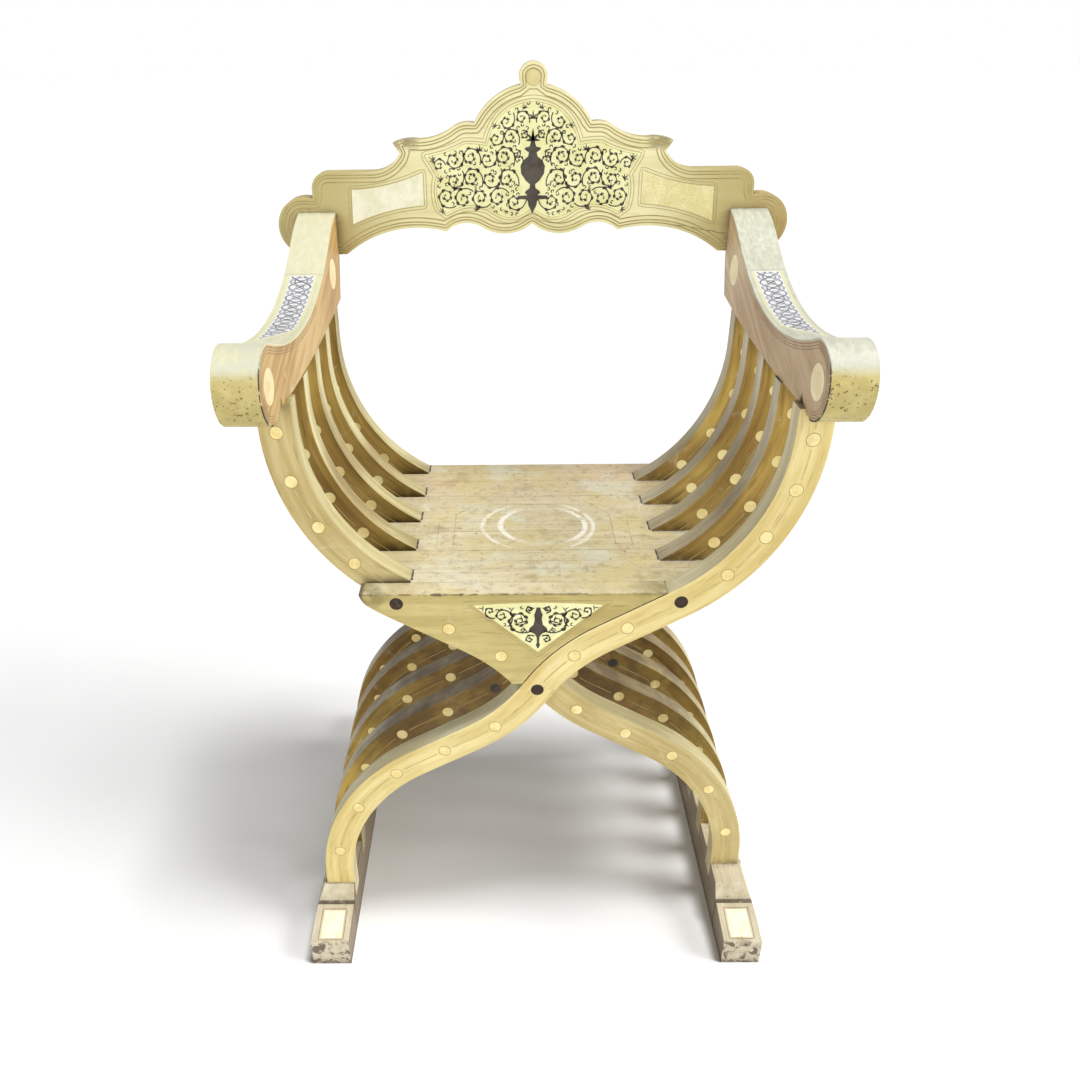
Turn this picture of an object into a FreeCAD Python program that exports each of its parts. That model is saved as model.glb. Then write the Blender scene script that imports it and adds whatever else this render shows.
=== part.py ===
import FreeCAD, Part
import math
import os
import re
import Sketcher
from FreeCAD import Placement, Rotation, Vector

# Folding X-frame armchair of curved staves (savonarola chair), in millimetres.
# X runs to the right, Y to the back and Z up. Left and right are as seen from the front.
# The origin lies on the floor under the middle of the chair.
# Right staves run from the right arm down to the left foot, left staves the other way.
# Heights and reaches of the frame are measured from the pivot rod.

SIZES = [
    ("stave_thickness", 25), ("washer_thickness", 5), ("spacer_thickness", 18),
    ("stave_gaps", 4), ("stave_width", 34),
    ("pivot_angle", 57), ("waist_angle", 29), ("waist_radius", 197),
    ("arm_bend_radius", 210), ("arm_reach", 254), ("foot_bend_radius", 200), ("foot_reach", 241),
    ("rod_radius", 7), ("running_fit", 0.05), ("seat_rod_past_bend", 0.69), ("seat_rod_rise", 1.5),
    ("washer_radius", 16), ("flat_gap", 0.3), ("overrun", 5),
    ("seat_cover", 11), ("seat_thickness", 24), ("seat_end_reach", 33.5),
    ("nose_radius", 60), ("nose_reach", 20),
    ("lip_end", 5.5), ("lip_wall", 8.5), ("lip_slant", 6.5),
    ("apron_gap", 1.2), ("apron_tip_height", 8), ("apron_nose_angle", 36),
    ("apron_end_reach", 38), ("apron_end_radius", 25),
    ("apron_panel_top", 13.5), ("apron_panel_width_share", 0.4573), ("apron_panel_height_share", 0.389),
    ("apron_panel_sag", 3), ("apron_disc_outer_share", 0.31), ("apron_disc_inner_share", 0.61),
    ("lobe_radius", 36.4), ("lobe_forward", 12), ("lobe_rise", 30.4), ("notch_drop", 20),
    ("dip_radius", 325), ("dip_rise", 44.1), ("arm_rise_angle", 33), ("arm_crown_radius", 190),
    ("arm_straight", 22.14), ("arm_under_rise", 30), ("arm_rear_drop", 53), ("arm_rear_slant", 15),
    ("notch_back", 20.5), ("veneer_thickness", 1.6), ("housing_depth", 26), ("tenon_step", 7.5),
    ("arm_inner_back", 25), ("arm_outer_back", 18), ("arm_inner_front", 10), ("arm_outer_front", 32),
    ("arm_disc_radius", 16.5), ("arm_disc_back", 47), ("arm_disc_drop", 59), ("arm_disc_depth", 4),
    ("foot_height", 62), ("toe_reach", 72), ("toe_height", 35), ("toe_pad_rise", 8), ("toe_groove", 4),
    ("toe_slope", 13), ("foot_lead", 2), ("foot_outer_wall", 12), ("foot_shoulder", 9),
    ("foot_shoulder_drop", 22), ("foot_housing", 22), ("foot_straight", 37.24),
    ("foot_inlay_width", 25), ("foot_inlay_length", 38), ("foot_inlay_inset", 8),
    ("disc_radius", 6.5), ("inlay_depth", 1.5), ("peg_radius", 3.5), ("peg_inset", 12),
    ("crest_overhang", 43), ("crest_rise", 74), ("crest_height", 197.5), ("crest_thickness", 22),
    ("tongue_inset", 11), ("tongue_width", 14), ("tongue_reach", 12), ("tongue_root", 8),
    ("tongue_rise", 5), ("tongue_cover", 3), ("finial_disc_radius", 8),
]

# Places of the inlaid discs along a stave, as shares of each of its stretches.
BEND_DISC_SHARES = {"arm": (0.25, 0.49, 0.735, 0.966), "foot": (0.127, 0.462, 0.818)}
LINE_DISC_SHARES = {"arm": (0.31,), "foot": (0.5,)}
WAIST_DISC_SHARES = {"arm": (0.61,), "foot": (0.71,)}

# Half outline of the crest rail, from the middle of its lower edge outwards and up to the finial.
# Each row holds a corner as shares of the half width and of the height, and the bulge of the
# stretch that leaves it as a share of the height: positive outwards, negative into the wood.
CREST_SHARES = [
    (0.0, 0.167, 0.045), (0.195, 0.147, -0.036), (0.337, 0.127, -0.071), (0.737, 0.005, 0),
    (0.892, 0.0, 0.0475), (1.0, 0.162, 0.069), (0.855, 0.314, 0), (0.855, 0.359, 0.028),
    (0.795, 0.456, 0), (0.613, 0.456, -0.023), (0.507, 0.55, 0), (0.532, 0.603, 0.01),
    (0.431, 0.62, -0.013), (0.31, 0.673, 0.015), (0.222, 0.701, 0.036), (0.047, 0.888, 0.038),
    (0.0, 1.0, 0),
]
CENTRE_PANEL_SHARES = [
    (0.0, 0.243, 0.05), (0.168, 0.243, -0.03), (0.333, 0.218, 0), (0.367, 0.253, 0.015),
    (0.367, 0.43, 0), (0.411, 0.537, -0.01), (0.263, 0.602, 0.005), (0.178, 0.592, 0.063),
    (0.0, 0.813, 0),
]
SIDE_PANEL_SHARES = [
    (0.424, 0.273, -0.02), (0.705, 0.172, 0), (0.7, 0.36, -0.02), (0.424, 0.446, 0),
]

doc = FreeCAD.newDocument("SavonarolaChair")
sheet = doc.addObject("Spreadsheet::Sheet", "Sizes")
for row, (alias, value) in enumerate(SIZES, start=1):
    sheet.set(f"A{row}", alias)
    sheet.set(f"B{row}", str(value))
    sheet.setAlias(f"B{row}", alias)
doc.recompute()
ALIAS_PATTERN = re.compile(r"\b(" + "|".join(alias for alias, value in SIZES) + r")\b")
nodes = []


def bound(formula):
    """Return the formula with each size name pointing at its cell in the sheet."""
    return ALIAS_PATTERN.sub(r"Sizes.\1", str(formula))


def number(formula):
    """Return the present value of a formula of named sizes."""
    return float(sheet.evalExpression(bound(formula)))


def bind(target, path, formula):
    target.setExpression(path, bound(formula))


def negative(formula):
    return "0" if formula == "0" else f"-({formula})"


def sided(side, formula):
    """Return a reach on the right side, or its mirror image on the left side."""
    return formula if side == "right" else negative(formula)


def place(target, x="0", y="0", z="0"):
    for axis, formula in (("x", x), ("y", y), ("z", z)):
        bind(target, f"Placement.Base.{axis}", formula)


def finish(name, source):
    """Give a finished sub-part the label that names its file, and keep it for the checks."""
    source.Label = name
    nodes.append(source)
    return source


# Sketches and bodies

def origin_plane(body, role):
    return next(feature for feature in body.Origin.OriginFeatures if feature.Role == role)


def new_sketch(body, name, role, height=None):
    sketch = body.newObject("Sketcher::SketchObject", name)
    sketch.AttachmentSupport = [(origin_plane(body, role), "")]
    sketch.MapMode = "FlatFace"
    if height is not None:
        bind(sketch, "AttachmentOffset.Base.z", height)
    return sketch


def arc_middle(start, end, radius, turn):
    """Return the middle of a short arc that bulges left (turn 1) or right (turn -1) of its chord."""
    chord = end - start
    half = chord.Length / 2
    rise = radius - math.sqrt(max(radius ** 2 - half ** 2, 0))
    left = Vector(-chord.y, chord.x, 0).normalize()
    return (start + end) * 0.5 + left * (rise * turn)


def draw_outline(sketch, corners):
    """Draw a closed outline. A corner is (x, y), or (x, y, radius, turn) when an arc leaves it."""
    points = [Vector(number(corner[0]), number(corner[1]), 0) for corner in corners]
    edges = []
    for index, corner in enumerate(corners):
        start = points[index]
        end = points[(index + 1) % len(points)]
        if len(corner) == 2:
            edges.append(sketch.addGeometry(Part.LineSegment(start, end)))
        else:
            middle = arc_middle(start, end, number(corner[2]), corner[3])
            edges.append(sketch.addGeometry(Part.Arc(start, middle, end)))
    starts = []
    for edge, point in zip(edges, points):
        gaps = [sketch.getPoint(edge, end).distanceToPoint(point) for end in (1, 2)]
        starts.append(1 if gaps[0] < gaps[1] else 2)
    links = []
    formulas = []
    for index, edge in enumerate(edges):
        last_end = 3 - starts[index - 1]
        links.append(Sketcher.Constraint("Coincident", edges[index - 1], last_end, edge, starts[index]))
    for index, corner in enumerate(corners):
        edge = edges[index]
        for kind, formula, value in (("DistanceX", corner[0], points[index].x),
                                     ("DistanceY", corner[1], points[index].y)):
            links.append(Sketcher.Constraint(kind, -1, 1, edge, starts[index], value))
            formulas.append((len(links) - 1, formula))
        if len(corner) > 2:
            links.append(Sketcher.Constraint("Radius", edge, number(corner[2])))
            formulas.append((len(links) - 1, corner[2]))
    sketch.addConstraint(links)
    for index, formula in formulas:
        bind(sketch, f"Constraints[{index}]", formula)


def draw_circle(sketch, x, y, radius):
    circle = Part.Circle(Vector(number(x), number(y), 0), Vector(0, 0, 1), number(radius))
    edge = sketch.addGeometry(circle)
    for kind, formula in (("DistanceX", x), ("DistanceY", y)):
        index = sketch.addConstraint(Sketcher.Constraint(kind, -1, 1, edge, 3, number(formula)))
        bind(sketch, f"Constraints[{index}]", formula)
    index = sketch.addConstraint(Sketcher.Constraint("Radius", edge, number(radius)))
    bind(sketch, f"Constraints[{index}]", radius)


def pad(body, sketch, length, reversed_way=False):
    feature = body.newObject("PartDesign::Pad", "Pad")
    feature.Profile = sketch
    feature.Reversed = reversed_way
    bind(feature, "Length", length)
    sketch.Visibility = False
    doc.recompute()
    return feature


def pocket(body, sketch, reversed_way=False, length=None):
    """Cut a sketch through everything, or to a length, and make sure that it cut something."""
    before = body.Shape.Volume
    feature = body.newObject("PartDesign::Pocket", "Pocket")
    feature.Profile = sketch
    feature.Reversed = reversed_way
    if length is None:
        feature.Type = "ThroughAll"
    else:
        bind(feature, "Length", length)
    doc.recompute()
    if body.Shape.isNull() or body.Shape.Volume >= before:
        raise ValueError(f"{sketch.Label} of {body.Label} cuts nothing")
    return feature


def plate(name, corners, y, thickness):
    """Make a flat board in the XZ plane: its front face at y, its thickness towards the back."""
    body = doc.addObject("PartDesign::Body", name)
    sketch = new_sketch(body, f"{name}_outline", "XZ_Plane")
    draw_outline(sketch, corners)
    pad(body, sketch, thickness, reversed_way=True)
    place(body, "0", y, PIVOT_HEIGHT)
    return body


def cylinder(name, direction, radius, length, x, y, z):
    """Make a round bar that starts at x, y, z and runs along one axis."""
    turns = {"y": Rotation(Vector(1, 0, 0), -90), "x": Rotation(Vector(0, 1, 0), 90)}
    bar = doc.addObject("Part::Cylinder", name)
    bar.Placement = Placement(Vector(0, 0, 0), turns[direction])
    bind(bar, "Radius", radius)
    bind(bar, "Height", length)
    place(bar, x, y, z)
    return bar


def box(name, length, width, height, x, y, z):
    block = doc.addObject("Part::Box", name)
    for path, formula in (("Length", length), ("Width", width), ("Height", height)):
        bind(block, path, formula)
    place(block, x, y, z)
    return block


def group(name, members):
    bundle = doc.addObject("Part::Compound", name)
    bundle.Links = members
    return bundle


def cut(name, base, tool):
    result = doc.addObject("Part::Cut", name)
    result.Base = base
    result.Tool = tool
    return result


def common(name, base, tool):
    result = doc.addObject("Part::Common", name)
    result.Base = base
    result.Tool = tool
    return result


# Layers of the pack from front to back: right stave, washer, left stave, spacer, and again

STAVE_COUNT = int(number("stave_gaps")) + 1
PITCH = "(2 * stave_thickness + washer_thickness + spacer_thickness)"
PACK_DEPTH = f"(stave_gaps * {PITCH} + 2 * stave_thickness + washer_thickness)"
PACK_FRONT = f"(-{PACK_DEPTH} / 2)"
LEFT_STEP = "(stave_thickness + washer_thickness)"
SPACER_STEP = "(2 * stave_thickness + washer_thickness)"


def layer(index, step="0"):
    """Return the front of one layer, counted from the front of the pack."""
    return f"({index} * {PITCH} + {step})"


def from_pack(depth):
    return f"({PACK_FRONT} + {depth})"


# Shape of a stave: it turns about the waist radius at the pivot, runs straight across
# the seat line and bends upright to the arm, and the same upside down to the foot

SIN_PIVOT = "sin(pivot_angle * 1deg)"
COS_PIVOT = "cos(pivot_angle * 1deg)"
SIN_WAIST = "sin(waist_angle * 1deg)"
COS_WAIST = "cos(waist_angle * 1deg)"
TAN_WAIST = "tan(waist_angle * 1deg)"
WAIST_X = f"(waist_radius * {SIN_PIVOT})"
WAIST_Z = f"(-waist_radius * {COS_PIVOT})"
LINE_X = f"({WAIST_X} - waist_radius * {SIN_WAIST})"
LINE_Z = f"({WAIST_Z} + waist_radius * {COS_WAIST})"
HALF = "(stave_width / 2)"
REACH = {"arm": "arm_reach", "foot": "foot_reach"}
BEND = {"arm": "arm_bend_radius", "foot": "foot_bend_radius"}


def bend_start(end):
    x = f"({REACH[end]} - {BEND[end]} * (1 - {SIN_WAIST}))"
    return x, f"({LINE_Z} + ({x} - {LINE_X}) * {TAN_WAIST})"


def bend_centre(end):
    return f"({REACH[end]} - {BEND[end]})", f"({bend_start(end)[1]} + {BEND[end]} * {COS_WAIST})"


def edge_points(end, offset):
    """Return the corners of one long edge from the pivot outwards, offset towards the seat."""
    centre_x, centre_z = bend_centre(end)
    radius = f"({BEND[end]} - {offset})"
    return [
        (f"(-{offset} * {SIN_PIVOT})", f"({offset} * {COS_PIVOT})"),
        (f"({WAIST_X} - (waist_radius + {offset}) * {SIN_WAIST})",
         f"({WAIST_Z} + (waist_radius + {offset}) * {COS_WAIST})"),
        (f"({centre_x} + {radius} * {SIN_WAIST})", f"({centre_z} - {radius} * {COS_WAIST})"),
        (f"({REACH[end]} - {offset})", centre_z),
    ]


def stave_half(end, tip):
    """Return half of a stave's outline: out along its seat edge, over its tip, and back.

    The tip is a list of corners, each a step in from the stave's edge and a height."""
    seat_edge = edge_points(end, HALF)
    far_edge = edge_points(end, f"(-{HALF})")
    seat_tip = [(f"({seat_edge[3][0]} + {step})", height) for step, height in tip]
    far_tip = [(f"({far_edge[3][0]} - {step})", height) for step, height in reversed(tip)]
    return [
        seat_edge[0] + (f"(waist_radius + {HALF})", 1), seat_edge[1],
        seat_edge[2] + (f"({BEND[end]} - {HALF})", -1), seat_edge[3], *seat_tip, *far_tip,
        far_edge[3] + (f"({BEND[end]} + {HALF})", 1), far_edge[2],
        far_edge[1] + (f"(waist_radius - {HALF})", -1),
    ]


def mirrored(corners):
    """Mirror an outline from right to left: an arc then bulges to the other hand."""
    flipped = []
    for corner in corners:
        arc = (corner[2], -corner[3]) if len(corner) > 2 else ()
        flipped.append((negative(corner[0]), corner[1]) + arc)
    return flipped


def turned(corners):
    """Turn an outline upside down about the pivot."""
    return [(negative(corner[0]), negative(corner[1])) + tuple(corner[2:]) for corner in corners]


# Places that follow from the staves: the arms stand on them, the crest stands on the arms,
# the feet hold them, and the seat rods cross them where their straight stretch ends

STAVE_FOOT = f"({bend_centre('foot')[1]} + foot_straight)"
PIVOT_HEIGHT = f"({STAVE_FOOT} + foot_height - foot_housing)"
ARM_UNDER = f"({bend_centre('arm')[1]} + arm_straight)"
LOBE_HEIGHT = f"({ARM_UNDER} + lobe_rise)"
DIP_HEIGHT = f"({ARM_UNDER} + dip_rise)"
CREST_BASE = f"({ARM_UNDER} + crest_rise)"
TONGUE_BASE = f"({CREST_BASE} + tongue_rise)"
CREST_HALF_WIDTH = "(arm_reach + crest_overhang)"
TONGUE_INNER = "(arm_reach - tongue_inset)"
ARM_OUTER_BACK = "(arm_reach + arm_outer_back)"
ARM_OUTER_FRONT = "(arm_reach + arm_outer_front)"
FOOT_INNER = f"(foot_reach - {HALF})"
FOOT_OUTER = f"(foot_reach + {HALF} + foot_outer_wall)"
ROD_X = f"({bend_start('arm')[0]} + seat_rod_past_bend)"
SEAT_END = f"({ROD_X} + seat_end_reach)"


def under_arm(depth):
    return f"({ARM_UNDER} + arm_under_rise * ({depth} / {PACK_DEPTH})^2)"


def stave_top(depth):
    """Return the height of a stave's top, housed in the arm, from the depth of its middle."""
    return f"({under_arm(depth)} + housing_depth)"


ROD_Z = f"({LINE_Z} + ({ROD_X} - {LINE_X}) * {TAN_WAIST} + seat_rod_rise)"
HOLE = "(rod_radius + running_fit)"


def bend_point(end, share):
    centre_x, centre_z = bend_centre(end)
    angle = f"((waist_angle + (90 - waist_angle) * {share}) * 1deg)"
    return f"({centre_x} + {BEND[end]} * sin({angle}))", f"({centre_z} - {BEND[end]} * cos({angle}))"


def line_point(end, share):
    end_x, end_z = bend_start(end)
    return (f"({LINE_X} + ({end_x} - {LINE_X}) * {share})", f"({LINE_Z} + ({end_z} - {LINE_Z}) * {share})")


def waist_point(share):
    angle = f"((pivot_angle + (waist_angle - pivot_angle) * {share}) * 1deg)"
    return f"({WAIST_X} - waist_radius * sin({angle}))", f"({WAIST_Z} + waist_radius * cos({angle}))"


def disc_places(side, index):
    """Return the disc centres on one stave. Only the front right stave shows its middle ones."""
    places = [bend_point("arm", share) for share in BEND_DISC_SHARES["arm"]]
    if side == "right" and index == 0:
        places += [line_point("arm", share) for share in LINE_DISC_SHARES["arm"]]
        places += [waist_point(share) for share in WAIST_DISC_SHARES["arm"]]
    low = [waist_point(share) for share in WAIST_DISC_SHARES["foot"]]
    low += [line_point("foot", share) for share in LINE_DISC_SHARES["foot"]]
    low += [bend_point("foot", share) for share in BEND_DISC_SHARES["foot"]]
    lost = {("right", 1): 0, ("left", 2): 1}.get((side, index))
    places += [(negative(x), negative(z)) for rank, (x, z) in enumerate(low) if rank != lost]
    return [(sided(side, x), z) for x, z in places]


# Arms: a board of S shape with a round front lobe, a pale veneer over its top, and two discs

def arm_points(skin):
    """Return the arm's outline at a depth below its finished top: corners, arcs and radii."""
    def crown_top(depth):
        return f"({crown_z} + sqrt({crown}^2 - ({depth} - {crown_y})^2))"

    lobe = f"(lobe_radius - {skin})"
    dip = f"(dip_radius + {skin})"
    crown = f"(arm_crown_radius - {skin})"
    dip_z = f"({DIP_HEIGHT} + dip_radius)"
    reach = "(dip_radius + lobe_radius)"
    dip_y = f"(sqrt({reach}^2 - ({dip_z} - {LOBE_HEIGHT})^2) - lobe_forward)"
    rise = "(arm_rise_angle * 1deg)"
    crown_y = f"({dip_y} + (dip_radius + arm_crown_radius) * sin({rise}))"
    crown_z = f"({dip_z} - (dip_radius + arm_crown_radius) * cos({rise}))"
    front = (f"(-lobe_forward - {lobe})", LOBE_HEIGHT)
    hump = (f"(-lobe_forward + {lobe} * ({dip_y} + lobe_forward) / {reach})",
            f"({LOBE_HEIGHT} + {lobe} * ({dip_z} - {LOBE_HEIGHT}) / {reach})")
    slope = (f"({dip_y} + {dip} * sin({rise}))", f"({dip_z} - {dip} * cos({rise}))")
    back = (PACK_DEPTH, crown_top(PACK_DEPTH))
    tongue = crown_top(f"({PACK_DEPTH} - tongue_reach - flat_gap)")
    return {"front": front, "hump": hump, "slope": slope, "back": back, "tongue": tongue,
            "lobe": lobe, "dip": dip, "crown": crown}


TONGUE_TOP = f"({arm_points('veneer_thickness')['tongue']} - tongue_cover)"


def arm_outline():
    top = arm_points("veneer_thickness")
    under_radius = f"(({PACK_DEPTH}^2 + arm_under_rise^2) / (2 * arm_under_rise))"
    rear = arm_points("0")["back"][1]
    slant_y = f"({PACK_DEPTH} - arm_rear_slant)"
    notch_z = f"({LOBE_HEIGHT} - notch_drop)"
    notch_y = f"(sqrt({top['lobe']}^2 - notch_drop^2) - lobe_forward)"
    return [
        top["front"] + (top["lobe"], 1), top["hump"] + (top["dip"], -1),
        top["slope"] + (top["crown"], 1), top["back"], (PACK_DEPTH, f"({rear} - arm_rear_drop)"),
        (slant_y, under_arm(slant_y)) + (under_radius, 1), ("notch_back", under_arm("notch_back")),
        (notch_y, notch_z) + (top["lobe"], 1),
    ]


def veneer_outline():
    outer = arm_points("0")
    inner = arm_points("veneer_thickness")
    low_outer = ("-lobe_forward", f"({LOBE_HEIGHT} - {outer['lobe']})")
    low_inner = ("-lobe_forward", f"({LOBE_HEIGHT} - {inner['lobe']})")
    return [
        low_outer + (outer["lobe"], 1), outer["front"] + (outer["lobe"], 1),
        outer["hump"] + (outer["dip"], -1), outer["slope"] + (outer["crown"], 1), outer["back"],
        inner["back"] + (inner["crown"], -1), inner["slope"] + (inner["dip"], 1),
        inner["hump"] + (inner["lobe"], -1), inner["front"] + (inner["lobe"], -1), low_inner,
    ]


LOBE_FRONT = "(-lobe_forward - lobe_radius)"


def arm_face(which, depth):
    """Return the reach of the arm's inner or outer face at a depth: it flares towards the front."""
    way = "-" if which == "inner" else "+"
    slope = f"(arm_{which}_back - arm_{which}_front) / ({PACK_DEPTH} - {LOBE_FRONT})"
    return f"(arm_reach {way} (arm_{which}_front + ({depth} - {LOBE_FRONT}) * {slope}))"


def arm_board(name, side, corners):
    """Make an arm or its veneer: the side shape cut again to the flared plan shape."""
    body = doc.addObject("PartDesign::Body", name)
    profile = new_sketch(body, f"{name}_profile", "YZ_Plane")
    draw_outline(profile, corners)
    pad(body, profile, f"({ARM_OUTER_FRONT} + overrun)", reversed_way=side == "left")
    front = f"({LOBE_FRONT} - overrun)"
    back = f"({PACK_DEPTH} + overrun)"
    for which, limit in (("inner", "(-overrun)"), ("outer", f"({ARM_OUTER_FRONT} + 2 * overrun)")):
        plan = new_sketch(body, f"{name}_{which}_plan", "XY_Plane")
        draw_outline(plan, [
            (sided(side, limit), front), (sided(side, arm_face(which, front)), front),
            (sided(side, arm_face(which, back)), back), (sided(side, limit), back),
        ])
        pocket(body, plan, reversed_way=True)
    place(body, "0", PACK_FRONT, PIVOT_HEIGHT)
    return body


def rectangle(side, low_x, high_x, low_y, high_y):
    return [(sided(side, low_x), low_y), (sided(side, high_x), low_y),
            (sided(side, high_x), high_y), (sided(side, low_x), high_y)]


def build_arm(side, pegs):
    name = f"arm_{side}"
    body = arm_board(f"{name}_board", side, arm_outline())
    for index in range(STAVE_COUNT):
        start = layer(index, "0" if side == "right" else LEFT_STEP)
        middle = f"({start} + stave_thickness / 2)"
        housing = new_sketch(body, f"{name}_housing_{index + 1}", "XY_Plane")
        draw_outline(housing, rectangle(side, f"(arm_reach - {HALF} + tenon_step)",
                                        f"(arm_reach + {HALF} - tenon_step)", start,
                                        f"({start} + stave_thickness)"))
        pocket(body, housing, reversed_way=True, length=stave_top(middle))
    if side == "right":
        relief = new_sketch(body, f"{name}_lobe_relief", "XY_Plane")
        draw_outline(relief, rectangle(side, f"(arm_reach - {HALF})", f"(arm_reach + {HALF})",
                                       "0", "stave_thickness"))
        pocket(body, relief, reversed_way=True, length=under_arm("0"))
    slot = new_sketch(body, f"{name}_mortise", "XZ_Plane", height=f"(-{PACK_DEPTH} - overrun)")
    slot_outer = f"({TONGUE_INNER} + tongue_width + flat_gap)"
    slot_low = f"({TONGUE_BASE} - flat_gap)"
    if side == "left":
        slot_outer = f"({ARM_OUTER_FRONT} + overrun)"
        slot_low = ARM_UNDER
    draw_outline(slot, rectangle(side, f"({TONGUE_INNER} - flat_gap)", slot_outer, slot_low,
                                 f"({TONGUE_TOP} + flat_gap)"))
    pocket(body, slot, reversed_way=True, length="(tongue_reach + flat_gap + overrun)")
    discs = build_arm_discs(side, body)
    finish(name, cut(f"{name}_cut", body, group(f"{name}_insets", [pegs, discs])))


def build_veneer(side):
    name = f"arm_{side}_veneer"
    finish(name, arm_board(name, side, veneer_outline()))


def build_arm_discs(side, board):
    """Inlay a pale disc at each end of the arm's inner face, flush with its flare."""
    rear = arm_points("0")["back"][1]
    places = [("(-arm_disc_radius - 2 * flat_gap)", LOBE_HEIGHT),
              (f"({PACK_DEPTH} - arm_disc_back)", f"({rear} - arm_disc_drop)")]
    discs = []
    for index, (depth, height) in enumerate(places, start=1):
        face = arm_face("inner", depth)
        start = f"({face} - overrun)" if side == "right" else f"(-{face} - arm_disc_depth)"
        bar = cylinder(f"arm_{side}_disc_bar_{index}", "x", "arm_disc_radius",
                       "(arm_disc_depth + overrun)", start, from_pack(depth),
                       f"({PIVOT_HEIGHT} + {height})")
        discs.append(common(f"arm_{side}_disc_{index}", board, bar))
    return finish(f"arm_{side}_discs", group(f"arm_{side}_disc_pair", discs))


# Feet: long runners with a stepped toe at both ends

def foot_outline():
    """Return the runner's side shape, the same at its front and its back."""
    floor = f"(-{PIVOT_HEIGHT})"
    top = f"(foot_height - {PIVOT_HEIGHT})"
    pad_low = f"({floor} + toe_height)"
    pad_high = f"({pad_low} + toe_pad_rise)"
    groove = "(toe_slope + toe_groove)"
    front = [
        ("(-toe_reach)", floor), ("(-toe_reach)", pad_low), (f"(-{groove})", pad_high),
        ("(-toe_slope - toe_groove / 2)", f"({pad_high} - toe_groove / 2)"),
        ("(-toe_slope)", pad_high), ("(-foot_lead)", top),
    ]
    back = [(f"({PACK_DEPTH} - {y})", z) for y, z in reversed(front)]
    return front + back


def build_foot(side, pegs, inlay):
    name = f"foot_{side}"
    body = doc.addObject("PartDesign::Body", f"{name}_runner")
    profile = new_sketch(body, f"{name}_profile", "YZ_Plane")
    draw_outline(profile, foot_outline())
    pad(body, profile, FOOT_OUTER, reversed_way=side == "left")
    inner = new_sketch(body, f"{name}_inner_plan", "XY_Plane")
    draw_outline(inner, rectangle(side, "(-overrun)", FOOT_INNER, "(-toe_reach - overrun)",
                                  f"({PACK_DEPTH} + toe_reach + overrun)"))
    pocket(body, inner)
    for index in range(STAVE_COUNT):
        start = layer(index, "0" if side == "left" else LEFT_STEP)
        housing = new_sketch(body, f"{name}_housing_{index + 1}", "XY_Plane")
        draw_outline(housing, rectangle(side, f"({FOOT_INNER} - overrun)",
                                        f"(foot_reach + {HALF})", start,
                                        f"({start} + stave_thickness)"))
        pocket(body, housing, length=STAVE_FOOT)
    top = f"(foot_height - {PIVOT_HEIGHT})"
    shoulder = new_sketch(body, f"{name}_shoulder", "XZ_Plane", height="(toe_reach + overrun)")
    draw_outline(shoulder, [
        (sided(side, f"({FOOT_OUTER} - 2 * foot_shoulder)"), f"({top} + foot_shoulder_drop)"),
        (sided(side, f"({FOOT_OUTER} + foot_shoulder)"), f"({top} + foot_shoulder_drop)"),
        (sided(side, f"({FOOT_OUTER} + foot_shoulder)"), f"({top} - 2 * foot_shoulder_drop)"),
    ])
    pocket(body, shoulder)
    place(body, "0", PACK_FRONT, PIVOT_HEIGHT)
    finish(name, cut(f"{name}_cut", body, group(f"{name}_insets", [pegs, inlay])))


def build_foot_inlay(side):
    """Lay a pale tile into the sloping pad of the front toe."""
    angle = "(atan(toe_pad_rise / (toe_reach - toe_slope - toe_groove)))"
    middle = sided(side, f"(({FOOT_INNER} + {FOOT_OUTER}) / 2)")
    tile = doc.addObject("Part::Box", f"foot_{side}_tile")
    bind(tile, "Length", "foot_inlay_width")
    bind(tile, "Width", "foot_inlay_length")
    bind(tile, "Height", "inlay_depth")
    tile.Placement = Placement(Vector(0, 0, 0), Rotation(Vector(1, 0, 0), number(f"{angle} / 1deg")))
    bind(tile, "Placement.Rotation.Angle", angle)
    along = f"(toe_reach - foot_inlay_inset * cos({angle}) - inlay_depth * sin({angle}))"
    up = f"(toe_height + foot_inlay_inset * sin({angle}) - inlay_depth * cos({angle}))"
    place(tile, f"({middle} - foot_inlay_width / 2)", from_pack(f"(-{along})"), up)
    return finish(f"foot_{side}_inlay", tile)


# Seat: every layer of the pack has its own slat

SEAT_TOP = f"({ROD_Z} + seat_cover)"
SEAT_LOW = f"({SEAT_TOP} - seat_thickness)"


def stave_edge_x(height, gap):
    """Return where the straight seat edge of a right stave stands at a height, less a gap."""
    corner_x, corner_z = edge_points("arm", HALF)[1]
    return f"({corner_x} + ({height} - {corner_z}) / {TAN_WAIST} - {gap} / {SIN_WAIST})"


def hinged_slat_outline():
    """Slat that hangs on the left rod: round nose on the left, its right end on a right stave."""
    return [
        (negative(SEAT_END), SEAT_TOP, "nose_radius", -1),
        (f"(nose_reach - {SEAT_END})", SEAT_LOW),
        (stave_edge_x(SEAT_LOW, "flat_gap"), SEAT_LOW), (stave_edge_x(SEAT_TOP, "flat_gap"), SEAT_TOP),
    ]


def spacer_slat_outline():
    """Slat between two pairs of staves: it hangs on the right rod and its lip lies on the left one."""
    lip_z = f"({ROD_Z} + rod_radius + flat_gap)"
    lip_x = f"(-{ROD_X} - lip_end)"
    return [
        (lip_x, SEAT_TOP), (lip_x, lip_z), (f"(lip_wall - {ROD_X})", lip_z),
        (f"(lip_wall + lip_slant - {ROD_X})", SEAT_LOW),
        (f"({SEAT_END} - nose_reach)", SEAT_LOW, "nose_radius", -1),
        (SEAT_END, SEAT_TOP),
    ]


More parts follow.
